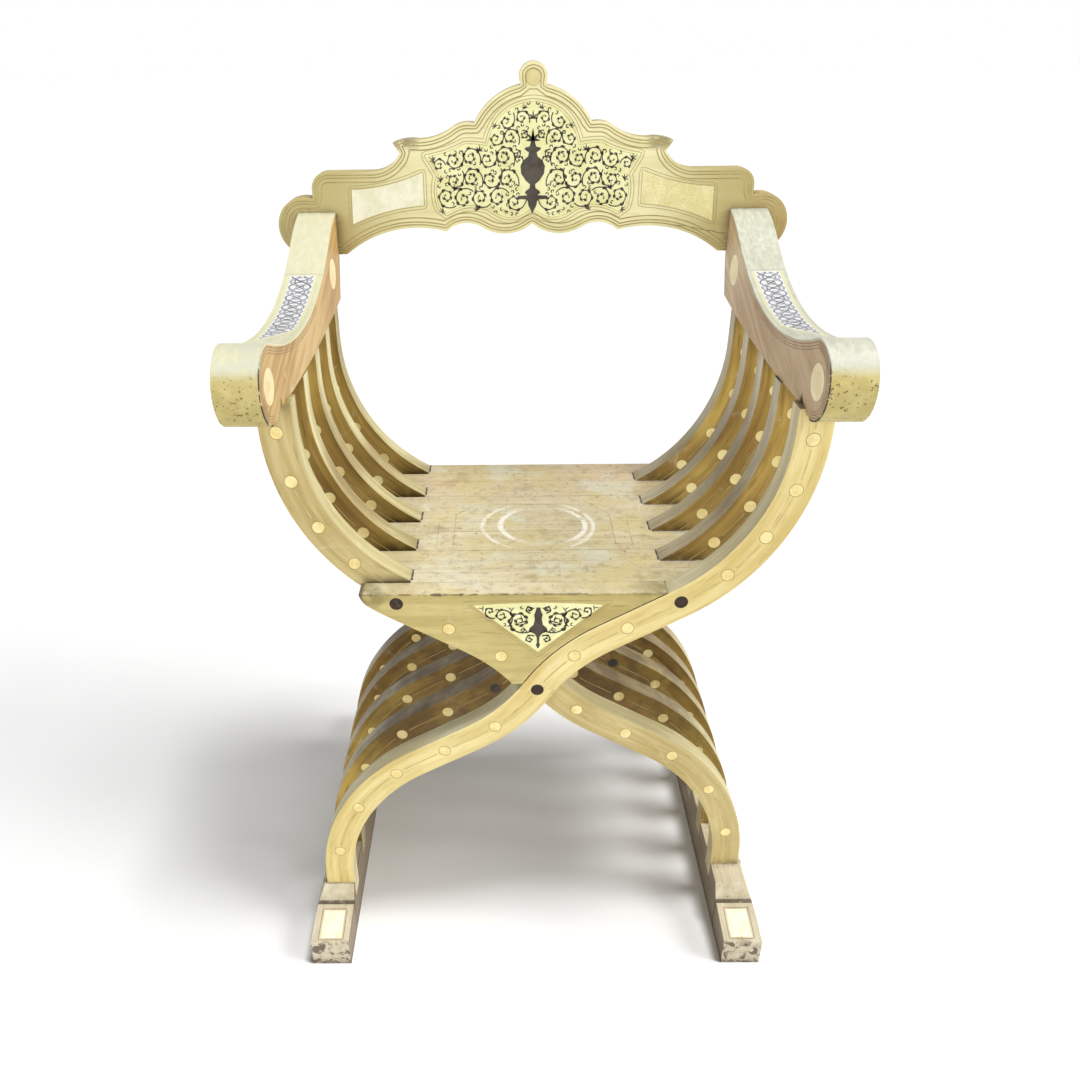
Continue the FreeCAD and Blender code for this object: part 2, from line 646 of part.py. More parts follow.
def apron_outline():
    """Front slat and apron in one board: its lower edges follow the front right stave's seat
    edge and the mirror image of that stave's outer edge."""
    far = edge_points("arm", f"(-{HALF})")
    centre_x, centre_z = bend_centre("arm")
    far_bend = f"({BEND['arm']} + {HALF})"
    nose = "(apron_nose_angle * 1deg)"
    nose_x = f"(-({centre_x} + {far_bend} * sin({nose})))"
    nose_z = f"({centre_z} - {far_bend} * cos({nose}))"
    far_waist = f"(waist_radius - {HALF})"
    seam_waist = f"(waist_radius + {HALF} + apron_gap)"
    drop = f"(apron_tip_height - {WAIST_Z})"
    tip_left = f"(sqrt({far_waist}^2 - {drop}^2) - {WAIST_X})"
    tip_right = f"({WAIST_X} - sqrt({seam_waist}^2 - {drop}^2))"
    seam = edge_points("arm", f"({HALF} + apron_gap)")[1]
    return [
        (f"(-{ROD_X} - apron_end_reach)", SEAT_TOP, "apron_end_radius", -1),
        (nose_x, nose_z, far_bend, -1),
        (negative(far[2][0]), far[2][1]), (negative(far[1][0]), far[1][1], far_waist, 1),
        (tip_left, "apron_tip_height"), (tip_right, "apron_tip_height", seam_waist, 1), seam,
        (stave_edge_x(SEAT_TOP, "apron_gap"), SEAT_TOP),
    ]


def bored(body, centre_x):
    """Bore the hinge rod's running hole through a slat."""
    hole = new_sketch(body, f"{body.Name}_rod_hole", "XZ_Plane")
    draw_circle(hole, centre_x, ROD_Z, HOLE)
    pocket(body, hole)
    return body


def build_seat():
    front = plate("apron_board", apron_outline(), PACK_FRONT, "stave_thickness")
    bored(front, negative(ROD_X))
    outer = line_point("arm", "apron_disc_outer_share")
    inner = waist_point("apron_disc_inner_share")
    discs = []
    for index, (x, z) in enumerate((outer, inner), start=1):
        discs.append(cylinder(f"apron_disc_{index}", "y", "disc_radius", "inlay_depth", negative(x),
                              PACK_FRONT, f"({PIVOT_HEIGHT} + {z})"))
    pair = finish("apron_discs", group("apron_disc_pair", discs))
    panel_z = f"({SEAT_TOP} - apron_panel_top)"
    panel_half = f"({ROD_X} * apron_panel_width_share)"
    panel_radius = f"(({panel_half}^2 + apron_panel_sag^2) / (2 * apron_panel_sag))"
    triangle = plate("apron_panel_board", [
        (negative(panel_half), panel_z),
        ("0", f"({panel_z} - {ROD_X} * apron_panel_height_share)"),
        (panel_half, panel_z, panel_radius, -1),
    ], PACK_FRONT, "inlay_depth")
    finish("apron_panel", triangle)
    finish("front_apron", cut("front_apron_cut", front, group("apron_insets", [pair, triangle])))
    for index in range(1, STAVE_COUNT):
        slat = plate(f"seat_slat_left_{index + 1}_board", hinged_slat_outline(), from_pack(layer(index)),
                     "stave_thickness")
        finish(f"seat_slat_left_{index + 1}", bored(slat, negative(ROD_X)))
    for index in range(STAVE_COUNT):
        start = layer(index, "(stave_thickness + flat_gap)")
        slat = plate(f"seat_slat_right_{index + 1}_board", mirrored(hinged_slat_outline()),
                     from_pack(start), "(stave_thickness + washer_thickness - flat_gap)")
        finish(f"seat_slat_right_{index + 1}", bored(slat, ROD_X))
    for index in range(STAVE_COUNT - 1):
        start = layer(index, f"({SPACER_STEP} + flat_gap / 2)")
        slat = plate(f"seat_slat_between_{index + 1}_board", spacer_slat_outline(), from_pack(start),
                     "(spacer_thickness - 1.5 * flat_gap)")
        finish(f"seat_slat_between_{index + 1}", bored(slat, ROD_X))


# Staves, rods, washers, pegs and discs

def stave_corners(side, start):
    """Return a stave's outline, with a shouldered tenon for the arm and a square end for the foot."""
    shoulder = under_arm(start)
    top = stave_top(f"({start} + stave_thickness / 2)")
    upper = stave_half("arm", [("0", shoulder), ("tenon_step", shoulder), ("tenon_step", top)])
    lower = turned(stave_half("foot", [("0", STAVE_FOOT)]))
    corners = upper + lower
    return corners if side == "right" else mirrored(corners)


def build_pegs(side):
    """Pegs that lock the stave ends: the arm's pegs and the pegs of the opposite foot."""
    other = "left" if side == "right" else "right"
    step = "0" if side == "right" else LEFT_STEP
    arm_pegs = []
    foot_pegs = []
    for index in range(STAVE_COUNT):
        middle = f"({layer(index, step)} + stave_thickness / 2)"
        face = arm_face("outer", middle)
        for kind, end_side, outer, height in (
                ("arm", side, face, f"({PIVOT_HEIGHT} + {stave_top(middle)} - peg_inset)"),
                ("foot", other, f"({FOOT_OUTER} - foot_shoulder / 2)",
                 "(foot_height - foot_housing / 2)")):
            inner = f"({REACH[kind]} - peg_inset / 2)"
            start = inner if end_side == "right" else f"(-{outer})"
            bar = cylinder(f"{kind}_{end_side}_peg_{index + 1}", "x", "peg_radius",
                           f"({outer} - {inner})", start, from_pack(middle), height)
            (arm_pegs if kind == "arm" else foot_pegs).append(bar)
    arm_node = finish(f"arm_{side}_pegs", group(f"arm_{side}_peg_set", arm_pegs))
    foot_node = finish(f"foot_{other}_pegs", group(f"foot_{other}_peg_set", foot_pegs))
    return arm_node, foot_node


def build_staves(side, arm_pegs, foot_pegs):
    discs_of_side = []
    for index in range(STAVE_COUNT):
        start = layer(index, "0" if side == "right" else LEFT_STEP)
        name = f"stave_{side}_{index + 1}"
        board = plate(f"{name}_board", stave_corners(side, start), from_pack(start), "stave_thickness")
        holes = new_sketch(board, f"{name}_rod_holes", "XZ_Plane")
        draw_circle(holes, "0", "0", HOLE)
        draw_circle(holes, sided(side, ROD_X), ROD_Z, HOLE)
        pocket(board, holes)
        discs = []
        for rank, (x, z) in enumerate(disc_places(side, index), start=1):
            discs.append(cylinder(f"{name}_disc_{rank}", "y", "disc_radius", "inlay_depth", x,
                                  from_pack(start), f"({PIVOT_HEIGHT} + {z})"))
        disc_set = group(f"{name}_disc_set", discs)
        discs_of_side.append(disc_set)
        insets = group(f"{name}_insets", [disc_set, arm_pegs, foot_pegs])
        finish(name, cut(f"{name}_cut", board, insets))
    finish(f"stave_{side}_discs", group(f"stave_{side}_disc_sets", discs_of_side))


def build_rods():
    for name, x, z in (("pivot_rod", "0", PIVOT_HEIGHT),
                       ("seat_rod_left", negative(ROD_X), f"({PIVOT_HEIGHT} + {ROD_Z})"),
                       ("seat_rod_right", ROD_X, f"({PIVOT_HEIGHT} + {ROD_Z})")):
        finish(name, cylinder(f"{name}_bar", "y", "rod_radius", PACK_DEPTH, x, PACK_FRONT, z))
    hole = cylinder("pivot_hole", "y", HOLE, PACK_DEPTH, "0", PACK_FRONT, PIVOT_HEIGHT)
    rings = []
    for index in range(STAVE_COUNT):
        rings.append(cylinder(f"washer_{index + 1}", "y", "washer_radius", "washer_thickness", "0",
                              from_pack(layer(index, "stave_thickness")), PIVOT_HEIGHT))
    finish("pivot_washers", cut("pivot_washers_cut", group("washer_blanks", rings), hole))
    blocks = []
    for index in range(STAVE_COUNT - 1):
        blocks.append(cylinder(f"spacer_{index + 1}", "y", "washer_radius", "spacer_thickness", "0",
                               from_pack(layer(index, SPACER_STEP)), PIVOT_HEIGHT))
    finish("pivot_spacers", cut("pivot_spacers_cut", group("spacer_blanks", blocks), hole))


# Crest rail: a shaped board behind the arms, pushed on with a tongue in each arm

def crest_point(x_share, z_share):
    return f"({CREST_HALF_WIDTH} * {x_share})", f"({CREST_BASE} + crest_height * {z_share})"


def bulged(corners, closed_half):
    """Turn rows of shares into an outline: both halves, or one closed panel."""
    rows = [crest_point(x, z) + (bulge,) for x, z, bulge in corners]
    if closed_half:
        way_back = []
        for index in range(len(rows) - 1, 0, -1):
            x, z, bulge = rows[index]
            way_back.append((negative(x), z, rows[index - 1][2]))
        rows = rows[:-1] + way_back
    outline = []
    for index, (x, z, bulge) in enumerate(rows):
        next_x, next_z = rows[(index + 1) % len(rows)][:2]
        if bulge == 0:
            outline.append((x, z))
            continue
        rise = f"(crest_height * {abs(bulge)})"
        radius = f"((({next_x} - {x})^2 + ({next_z} - {z})^2) / (8 * {rise}) + {rise} / 2)"
        outline.append((x, z, radius, -1 if bulge > 0 else 1))
    return outline


def build_crest():
    front = from_pack(f"({PACK_DEPTH} + flat_gap)")
    rail = plate("crest_board", bulged(CREST_SHARES, True), front, "crest_thickness")
    centre = plate("crest_centre_board", bulged(CENTRE_PANEL_SHARES, True), front, "inlay_depth")
    finish("crest_centre_panel", centre)
    insets = [centre]
    for side in ("left", "right"):
        corners = bulged(SIDE_PANEL_SHARES, False)
        corners = corners if side == "right" else mirrored(corners)
        board = plate(f"crest_side_{side}_board", corners, front, "inlay_depth")
        insets.append(finish(f"crest_side_panel_{side}", board))
    finial_z = crest_point(0, "0.922")[1]
    finial = cylinder("finial_disc", "y", "finial_disc_radius", "inlay_depth", "0", front,
                      f"({PIVOT_HEIGHT} + {finial_z})")
    insets.append(finish("crest_finial_disc", finial))
    start = from_pack(f"({PACK_DEPTH} + flat_gap - tongue_reach)")
    depth = "(tongue_reach + tongue_root)"
    base = f"({PIVOT_HEIGHT} + {TONGUE_BASE})"
    height = f"({TONGUE_TOP} - {TONGUE_BASE})"
    right = box("tongue_right", "tongue_width", depth, height, TONGUE_INNER, start, base)
    wide = f"({ARM_OUTER_BACK} - {TONGUE_INNER})"
    left = box("tongue_left", wide, depth, height, negative(ARM_OUTER_BACK), start, base)
    tongues = finish("crest_tongues", group("tongue_pair", [left, right]))
    finish("crest_rail", cut("crest_rail_cut", rail, group("crest_insets", insets + [tongues])))


build_rods()
peg_sets = {side: build_pegs(side) for side in ("right", "left")}
for stave_side, (arm_pegs, foot_pegs) in peg_sets.items():
    build_staves(stave_side, arm_pegs, foot_pegs)
    build_arm(stave_side, arm_pegs)
    build_veneer(stave_side)
for foot_side, opposite in (("left", "right"), ("right", "left")):
    build_foot(foot_side, peg_sets[opposite][1], build_foot_inlay(foot_side))
build_seat()
build_crest()
doc.recompute()

for item in doc.Objects:
    if "Invalid" in item.State or "Error" in item.State:
        raise ValueError(f"{item.Name} ({item.Label}) failed: {item.State}")
for node in nodes:
    if node.Shape.isNull() or not node.Shape.isValid() or not node.Shape.Solids:
        raise ValueError(f"{node.Label} has no valid shape")

os.makedirs("parts", exist_ok=True)
for node in nodes:
    node.Shape.exportStep(f"parts/{node.Label}.step")
    print(node.Label, len(node.Shape.Solids), round(node.Shape.Volume))
print(len(nodes), "nodes")
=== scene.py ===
"""Looks of a folding armchair of curved staves: waxed and worn straw-coloured wood with inlay of
bone, pale wood and dark wood. Everything is in metres, in the chair's own frame."""

import math

import bpy
import numpy as np
from mathutils import Matrix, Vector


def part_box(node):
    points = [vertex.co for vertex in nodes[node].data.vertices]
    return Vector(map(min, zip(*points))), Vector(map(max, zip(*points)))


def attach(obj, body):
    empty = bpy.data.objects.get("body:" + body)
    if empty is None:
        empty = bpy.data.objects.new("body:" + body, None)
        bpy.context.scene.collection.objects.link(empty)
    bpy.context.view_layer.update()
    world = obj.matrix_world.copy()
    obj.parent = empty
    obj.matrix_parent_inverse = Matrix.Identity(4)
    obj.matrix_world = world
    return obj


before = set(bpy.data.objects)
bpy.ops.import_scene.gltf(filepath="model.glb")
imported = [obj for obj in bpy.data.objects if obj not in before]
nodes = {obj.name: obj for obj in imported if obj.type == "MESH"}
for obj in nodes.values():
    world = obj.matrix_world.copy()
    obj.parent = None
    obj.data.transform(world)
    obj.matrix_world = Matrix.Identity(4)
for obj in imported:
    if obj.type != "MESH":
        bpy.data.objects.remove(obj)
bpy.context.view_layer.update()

MM = 0.001
HAND = {"right": 1, "left": -1}
STAVE_BODY = {"right": "root", "left": "left_frame"}
STAVES = [(side, rank) for side in HAND for rank in range(5)]

# Sizes of the chair that the inlay follows, the same as its solids have

PIVOT_HEIGHT = 0.355
STAVE = 0.025
PITCH = 0.073
LEFT_STEP = 0.030
DEPTH = 0.347
FRONT = -DEPTH / 2
WAIST_RADIUS = 0.197
PIVOT_ANGLE = math.radians(57)
WAIST_ANGLE = math.radians(29)
ARM_REACH, ARM_BEND, ARM_TIP = 0.254, 0.210, 0.3125
FOOT_REACH, FOOT_BEND, FOOT_TIP = 0.241, 0.200, 0.2925
SEAT_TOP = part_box("seat_slat_right_3")[1].z
SEAT_RODS = ((0.1465, 0.10907), (0.0, 0.0))
DISC_RADIUS = 0.0065
CREST_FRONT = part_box("crest_rail")[0].y
CREST_HALF, CREST_BASE, CREST_TALL = 0.297, 0.742, 0.1975

# Places of the inlaid discs as shares of the stretches of a stave, and the two that are lost

ARM_DISCS = {"bend": (0.25, 0.49, 0.735, 0.966), "line": (0.31,), "waist": (0.61,)}
FOOT_DISCS = {"waist": (0.71,), "line": (0.5,), "bend": (0.127, 0.462, 0.818)}
LOST_DISCS = {("right", 1): 0, ("left", 2): 1}

# Half outlines of the crest and its panels: shares of the half width and height, and the bulge of
# the stretch that leaves the corner as a share of the height

CREST_CORNERS = [
    (0.0, 0.167, 0.045), (0.195, 0.147, -0.036), (0.337, 0.127, -0.071), (0.737, 0.005, 0),
    (0.892, 0.0, 0.0475), (1.0, 0.162, 0.069), (0.855, 0.314, 0), (0.855, 0.359, 0.028),
    (0.795, 0.456, 0), (0.613, 0.456, -0.023), (0.507, 0.55, 0), (0.532, 0.603, 0.01),
    (0.431, 0.62, -0.013), (0.31, 0.673, 0.015), (0.222, 0.701, 0.036), (0.047, 0.888, 0.038),
    (0.0, 1.0, 0),
]
CENTRE_CORNERS = [
    (0.0, 0.243, 0.05), (0.168, 0.243, -0.03), (0.333, 0.218, 0), (0.367, 0.253, 0.015),
    (0.367, 0.43, 0), (0.411, 0.537, -0.01), (0.263, 0.602, 0.005), (0.178, 0.592, 0.063),
    (0.0, 0.813, 0),
]
SIDE_CORNERS = [(0.424, 0.273, -0.02), (0.705, 0.172, 0), (0.7, 0.36, -0.02), (0.424, 0.446, 0)]
PANEL_RISE = 0.12 * MM


# Meshes

def in_scene(name, data):
    """Make an object of the data and put it in the scene."""
    thing = bpy.data.objects.new(name, data)
    bpy.context.scene.collection.objects.link(thing)
    return thing


def new_piece(name, shape, body, finish):
    """Make an object from arrays of points and faces, and let it ride on a body."""
    points, faces = shape
    mesh = bpy.data.meshes.new(name)
    mesh.from_pydata(np.asarray(points).tolist(), [], np.asarray(faces).tolist())
    mesh.materials.append(FINISH[finish])
    mesh.update()
    piece = in_scene(name, mesh)
    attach(piece, body)


def grid_faces(rows, columns):
    """Faces of a grid of rows by columns: each row joins the next, and the columns close up."""
    r = np.arange(rows - 1)[:, None]
    c = np.arange(columns)[None, :]
    after = (c + 1) % columns
    quads = np.stack([r * columns + c, (r + 1) * columns + c,
                      (r + 1) * columns + after, r * columns + after], axis=-1)
    return quads.reshape(-1, 4)


def along(path):
    """Unit directions of an open path: each is the difference of its neighbours, scaled to one."""
    steps = np.gradient(path, axis=0)
    return steps / np.maximum(np.linalg.norm(steps, axis=1, keepdims=True), 1e-9)


def beside(path):
    """Unit normals of an open flat path, to its left."""
    way = along(path)
    return np.stack([-way[:, 1], way[:, 0]], axis=1)


def strip(path, widths, rise):
    """A low inlaid strip along a path on a plane: four corners at each point, the outer two at half
    the width and sunk below the face, the inner two a hair nearer and at the rise. Returns points
    as (across, up, out of the face) and faces, closed at both ends."""
    path = np.asarray(path, float)
    side, sink = beside(path), -0.2 * MM
    half = np.broadcast_to(np.asarray(widths, float), len(path))[:, None] / 2
    top = half - np.minimum(0.1 * MM, 0.25 * half)
    corners = []
    for hand, reach, level in ((-1, half, sink), (-1, top, rise), (1, top, rise), (1, half, sink)):
        flat = path + side * reach * hand
        corners.append(np.concatenate([flat, np.full((len(path), 1), level)], axis=1))
    points = np.stack(corners, axis=1).reshape(-1, 3)
    count = len(points)
    caps = np.array([[0, 1, 2, 3], [count - 1, count - 2, count - 3, count - 4]])
    return points, np.concatenate([grid_faces(len(path), 4), caps])


def unit(angle):
    """Directions of angles: their cosines and sines."""
    return np.stack([np.cos(angle), np.sin(angle)], axis=1)


def arc(centre, radius, start, end, count):
    """Points of an arc: its centre plus the radius times the directions of even angles."""
    return np.asarray(centre) + radius * unit(np.linspace(start, end, count))


def circle(centre, radius, count=20):
    return arc(centre, radius, 0, 2 * math.pi, count + 1)


def joined(shapes):
    """Join several (points, faces) pairs into one."""
    starts = np.cumsum([0] + [len(points) for points, faces in shapes[:-1]])
    points = np.concatenate([points for points, faces in shapes])
    faces = np.concatenate([faces + start for (_, faces), start in zip(shapes, starts)])
    return points, faces


def mirrored(shape):
    """The same shape on the other side of the middle."""
    return shape[0] * [-1, 1, 1], shape[1][:, ::-1]


def on_front(shape, y):
    """Stand a flat shape (across, up, out) on a face that looks to the front at depth y."""
    points = shape[0]
    return np.stack([points[:, 0], y - points[:, 2], points[:, 1]], axis=1), shape[1]


# Curves of the staves

def stave_stretches(reach, bend):
    """The three stretches of half a right stave from the pivot out: an arc about the waist centre
    from the pivot angle to the waist angle, a straight line, and an arc up to upright."""
    waist_centre = WAIST_RADIUS * np.array([math.sin(PIVOT_ANGLE), -math.cos(PIVOT_ANGLE)])
    waist = arc(waist_centre, WAIST_RADIUS, math.pi / 2 + PIVOT_ANGLE, math.pi / 2 + WAIST_ANGLE, 41)
    bend_x = reach - bend * (1 - math.sin(WAIST_ANGLE))
    bend_z = waist[-1][1] + (bend_x - waist[-1][0]) * math.tan(WAIST_ANGLE)
    centre = (reach - bend, bend_z + bend * math.cos(WAIST_ANGLE))
    upper = arc(centre, bend, WAIST_ANGLE - math.pi / 2, 0, 61)
    straight = np.linspace(waist[-1], upper[0], 21)
    return {"waist": waist, "line": straight, "bend": upper}


ARM_STAVE, FOOT_STAVE = stave_stretches(ARM_REACH, ARM_BEND), stave_stretches(FOOT_REACH, FOOT_BEND)


def half_stave(parts, reach, tip):
    return np.concatenate([parts["waist"], parts["line"][1:-1], parts["bend"], [[reach, tip]]])


def stave_line(side):
    """Whole centre line from the arm to the foot, about the pivot."""
    upper = half_stave(ARM_STAVE, ARM_REACH, ARM_TIP)
    lower = -half_stave(FOOT_STAVE, FOOT_REACH, FOOT_TIP)
    line = np.concatenate([upper[::-1], lower[1:]])
    return line * [HAND[side], 1]


def stave_front(side, rank):
    """Depth of the front face of a stave."""
    return FRONT + rank * PITCH + (0 if side == "right" else LEFT_STEP)


def at_share(path, share):
    rank = np.arange(len(path))
    return np.array([np.interp(share * (len(path) - 1), rank, column) for column in path.T])


def disc_centres(side, rank):
    """Centres of the discs on one stave about the pivot, and those of the sockets of lost ones."""
    front_stave = (side, rank) == ("right", 0)
    centres = [at_share(ARM_STAVE[part], share) for part, shares in ARM_DISCS.items() for share in shares
               if part == "bend" or front_stave]
    low = [-at_share(FOOT_STAVE[part], share) for part, shares in FOOT_DISCS.items() for share in shares]
    lost = LOST_DISCS.get((side, rank))
    sockets = [] if lost is None else [low.pop(lost)]
    hand = [HAND[side], 1]
    return [point * hand for point in centres + low], [point * hand for point in sockets]


def arc_length(path):
    return np.concatenate([[0], np.cumsum(np.linalg.norm(np.diff(path, axis=0), axis=1))])


def resampled(path, step):
    """The same line with points a step apart: its coordinates as functions of its length."""
    length = arc_length(path)
    at = np.linspace(0, length[-1], max(int(length[-1] / step), 2))
    return np.stack([np.interp(at, length, column) for column in path.T], axis=1)


def gaps_to(path, centres):
    """How far each point of a path is from the nearest centre."""
    return np.linalg.norm(path[:, None] - np.asarray(centres)[None], axis=2).min(axis=1)


def runs_where(path, kept, least=2):
    """Split a path into its runs of kept points, each with at least so many points."""
    edges = np.flatnonzero(np.diff(kept.astype(int))) + 1
    rows_of = np.split(np.arange(len(path)), edges)
    return [path[rows] for rows in rows_of if kept[rows[0]] and len(rows) >= least]


# Outlines of the crest and its panels

def bulged(corners, closed_half=True):
    """Points of an outline: each stretch is its chord plus the bulge times a parabola of its share,
    at right angles to the chord. A half outline is closed with its mirror image."""
    rows = [(x * CREST_HALF, CREST_BASE + z * CREST_TALL, bulge * CREST_TALL) for x, z, bulge in corners]
    if closed_half:
        rows = rows[:-1] + [(-rows[k][0], rows[k][1], rows[k - 1][2]) for k in range(len(rows) - 1, 0, -1)]
    points = []
    for here, after in zip(rows, rows[1:] + rows[:1]):
        start, end = np.array(here[:2]), np.array(after[:2])
        chord = end - start
        count = max(int(np.linalg.norm(chord) / (2 * MM)), 2)
        share = np.arange(count)[:, None] / count
        outward = np.array([chord[1], -chord[0]]) / np.linalg.norm(chord)
        points.append(start + chord * share + outward * here[2] * 4 * share * (1 - share))
    return np.concatenate(points)


def inset(outline, distance):
    """The closed line at a distance inside an outline: its points move along their normals, and
    those that come clearly nearer to any part of the outline are left out."""
    wrap, nearest_share = 3, 0.93
    closed = np.concatenate([outline[-wrap:], outline, outline[:wrap]])
    moved = outline + beside(closed)[wrap:-wrap] * distance
    kept = moved[gaps_to(moved, outline) > abs(distance) * nearest_share]
    return np.concatenate([kept, kept[:1]])


# Scrollwork: tendrils, leaves and turned silhouettes

def tendril(start, centre, radius, turns, hand, thick):
    """A stem that winds into a spiral, with leaves along both sides. Its angle grows evenly. Its
    distance to the centre falls from the start's to the radius with the sixth power of what is left
    of the way, and evenly by four fifths of the radius."""
    start, centre = np.array(start, float) * MM, np.array(centre, float) * MM
    radius, away = radius * MM, start - centre
    share = np.linspace(0, 1, int(26 * turns) + 8)
    first = math.atan2(away[1], away[0])
    distance = radius * (1 - 0.8 * share) + (np.linalg.norm(away) - radius) * (1 - share) ** 6
    angle = first + hand * 2 * math.pi * turns * share
    path = centre + distance[:, None] * unit(angle)
    widths = thick * MM * (1 - 0.45 * share) + 1.3 * MM * np.exp(-((share - 1) / 0.06) ** 2)
    shapes = [strip(path, widths, PANEL_RISE)]
    way = along(path)
    for rank, place in enumerate(np.arange(0.12, 0.80, 0.10 / max(radius / (9 * MM), 0.6))):
        at = int(place * (len(share) - 1))
        heading = math.atan2(way[at, 1], way[at, 0])
        size = 2.0 + radius / MM * (0.48 - 0.2 * place)
        shapes += leaf(path[at] / MM, heading - hand * 0.8, size, 0.42 * size, hand * 1.6)
        if rank % 2 == 0:
            shapes += leaf(path[at] / MM, heading + hand * 0.9, 0.6 * size, 0.36 * size, -hand * 1.5)
    return shapes


def leaf(base, heading, length, wide, curl):
    """A curled leaf: its heading turns evenly by the curl, and its width is the sine of its share
    of the length, drawn towards the base."""
    share = np.linspace(0, 1, 8)
    steps = unit(heading + curl * share) * length * MM / (len(share) - 1)
    path = np.array(base, float) * MM + np.cumsum(steps, axis=0) - steps[0]
    widths = wide * MM * np.sin(math.pi * np.clip(share ** 0.7, 0.04, 0.97))
    return [strip(path, widths, PANEL_RISE)]


def palmette(base, heading, size, count=5):
    """Leaves that fan out from one point."""
    shapes = []
    for spread in np.linspace(-1.15, 1.15, count):
        shapes += leaf(base, heading + spread, size * (1 - 0.3 * abs(spread)), 0.22 * size, 0.7 * spread)
    return shapes


def sprigs(shapes, outline, start):
    """Small curled leaves on a grid of staggered rows, wherever one half of a scrollwork and its
    outline leave room beyond the start, where the vase or stem ends. Each heading is the last one
    plus the golden angle."""
    step, room, margin, vase_top = 3.1 * MM, 2.5 * MM, 3.6 * MM, 0.872
    drawn = np.concatenate([points[:, :2] for points, _ in shapes])
    after = np.roll(outline, -1, axis=0)
    heading, made = 0.0, []
    for row, height in enumerate(np.arange(outline[:, 1].min(), outline[:, 1].max(), step)):
        crossed = (outline[:, 1] > height) != (after[:, 1] > height)
        rise = np.where(crossed, after[:, 1] - outline[:, 1], 1.0)
        meets = outline[:, 0] + (height - outline[:, 1]) / rise * (after[:, 0] - outline[:, 0])
        for across in np.arange(4 * MM + row % 2 * step / 2, outline[:, 0].max(), step):
            here = np.array([across, height])
            inside = np.count_nonzero(crossed & (meets > across)) % 2 == 1
            if (not inside or across < start and height < vase_top
                    or np.linalg.norm(outline - here, axis=1).min() < margin
                    or np.linalg.norm(drawn - here, axis=1).min() < room):
                continue
            heading += math.radians(137.5)
            pair = leaf(here / MM, heading, 4.4, 1.7, 1.7) + leaf(here / MM, heading + 2.6, 3.4, 1.4, -1.5)
            made += pair
            drawn = np.concatenate([drawn] + [points[:, :2] for points, _ in pair])
    return made


def turned_silhouette(profile):
    """A flat turned shape on the middle line: half widths given at heights, joined by straight
    stretches."""
    heights, halves = np.array(profile, float).T * MM
    at = np.sort(np.concatenate([np.linspace(heights[0], heights[-1], 60), heights]))
    at = at[np.concatenate([[True], np.diff(at) > 1e-7])]
    path = np.stack([np.zeros(len(at)), at], axis=1)
    return [strip(path, 2 * np.interp(at, heights, halves), PANEL_RISE)]


# Faces of the arms: the veneered top as (across, along, out) and the inner face

LOBE_PLACE = np.array([-0.012, 0.3434])
LOBE_RADIUS, DIP_RADIUS, CROWN_RADIUS = 0.0364, 0.325, 0.190
DIP_HEIGHT = 0.3571
ARM_RISE = math.radians(33)
ARM_BACK, ARM_FRONT = (0.229, 0.272), (0.244, 0.286)
ARM_HALF = (ARM_BACK[1] - ARM_BACK[0]) / 2
ARM_RUN = DEPTH + LOBE_RADIUS - LOBE_PLACE[0]


def arm_top_line():
    """The arm's top from the bottom of the lobe round its front, over the dip and the crown to the
    rear end: three arcs that meet in common tangents, as depth and height about the pivot."""
    dip_z = DIP_HEIGHT + DIP_RADIUS
    reach = DIP_RADIUS + LOBE_RADIUS
    dip_y = math.sqrt(reach ** 2 - (dip_z - LOBE_PLACE[1]) ** 2) + LOBE_PLACE[0]
    turn = math.atan2(dip_z - LOBE_PLACE[1], dip_y - LOBE_PLACE[0])
    lobe = arc(LOBE_PLACE, LOBE_RADIUS, -math.pi / 2, turn - 2 * math.pi, 90)
    dip = arc((dip_y, dip_z), DIP_RADIUS, turn - math.pi, ARM_RISE - math.pi / 2, 70)
    crown_y = dip_y + (DIP_RADIUS + CROWN_RADIUS) * math.sin(ARM_RISE)
    crown_z = dip_z - (DIP_RADIUS + CROWN_RADIUS) * math.cos(ARM_RISE)
    last = math.acos((DEPTH - crown_y) / CROWN_RADIUS)
    crown = arc((crown_y, crown_z), CROWN_RADIUS, ARM_RISE + math.pi / 2, last, 30)
    return resampled(np.concatenate([lobe, dip[1:], crown[1:]]), 1.0 * MM)


ARM_TOP = arm_top_line()
ARM_TOP_LENGTH = arc_length(ARM_TOP)
ARM_TOP_WAY = along(ARM_TOP)


def arm_reaches(depth):
    """Reaches of the arm's inner and outer face: straight lines between the rear and front reaches."""
    return [(DEPTH - depth) * (front - back) / ARM_RUN + back for back, front in zip(ARM_BACK, ARM_FRONT)]


def length_at_depth(depth):
    """How far along the top a depth behind the lobe lies."""
    lobe_end = 0.11
    rear = (ARM_TOP[:, 1] > LOBE_PLACE[1]) & (ARM_TOP_LENGTH > lobe_end)
    return float(np.interp(depth, ARM_TOP[rear, 0], ARM_TOP_LENGTH[rear]))


def on_side(shape, side):
    return shape if side == "right" else mirrored(shape)


def on_arm_top(shape, side):
    """Wrap a shape (share of the half width, length from the lobe's bottom, out) over the arm."""
    share, length, out = shape[0].T
    depth, height, way_y, way_z = (np.interp(length, ARM_TOP_LENGTH, column)
                                   for column in (*ARM_TOP.T, *ARM_TOP_WAY.T))
    inner, outer = arm_reaches(depth)
    x = (inner + outer) / 2 + share * (outer - inner) / 2
    points = np.stack([x, FRONT + depth - way_z * out, PIVOT_HEIGHT + height + way_y * out], axis=1)
    return on_side((points, shape[1]), side)


def top_strip(path, widths, rise):
    """A strip for the arm's top. Its path is (share of the half width, length), and it is laid out
    with the true half width, so that it keeps its width all round."""
    points, faces = strip(np.asarray(path) * [ARM_HALF, 1], widths, rise)
    return points / [ARM_HALF, 1, 1], faces


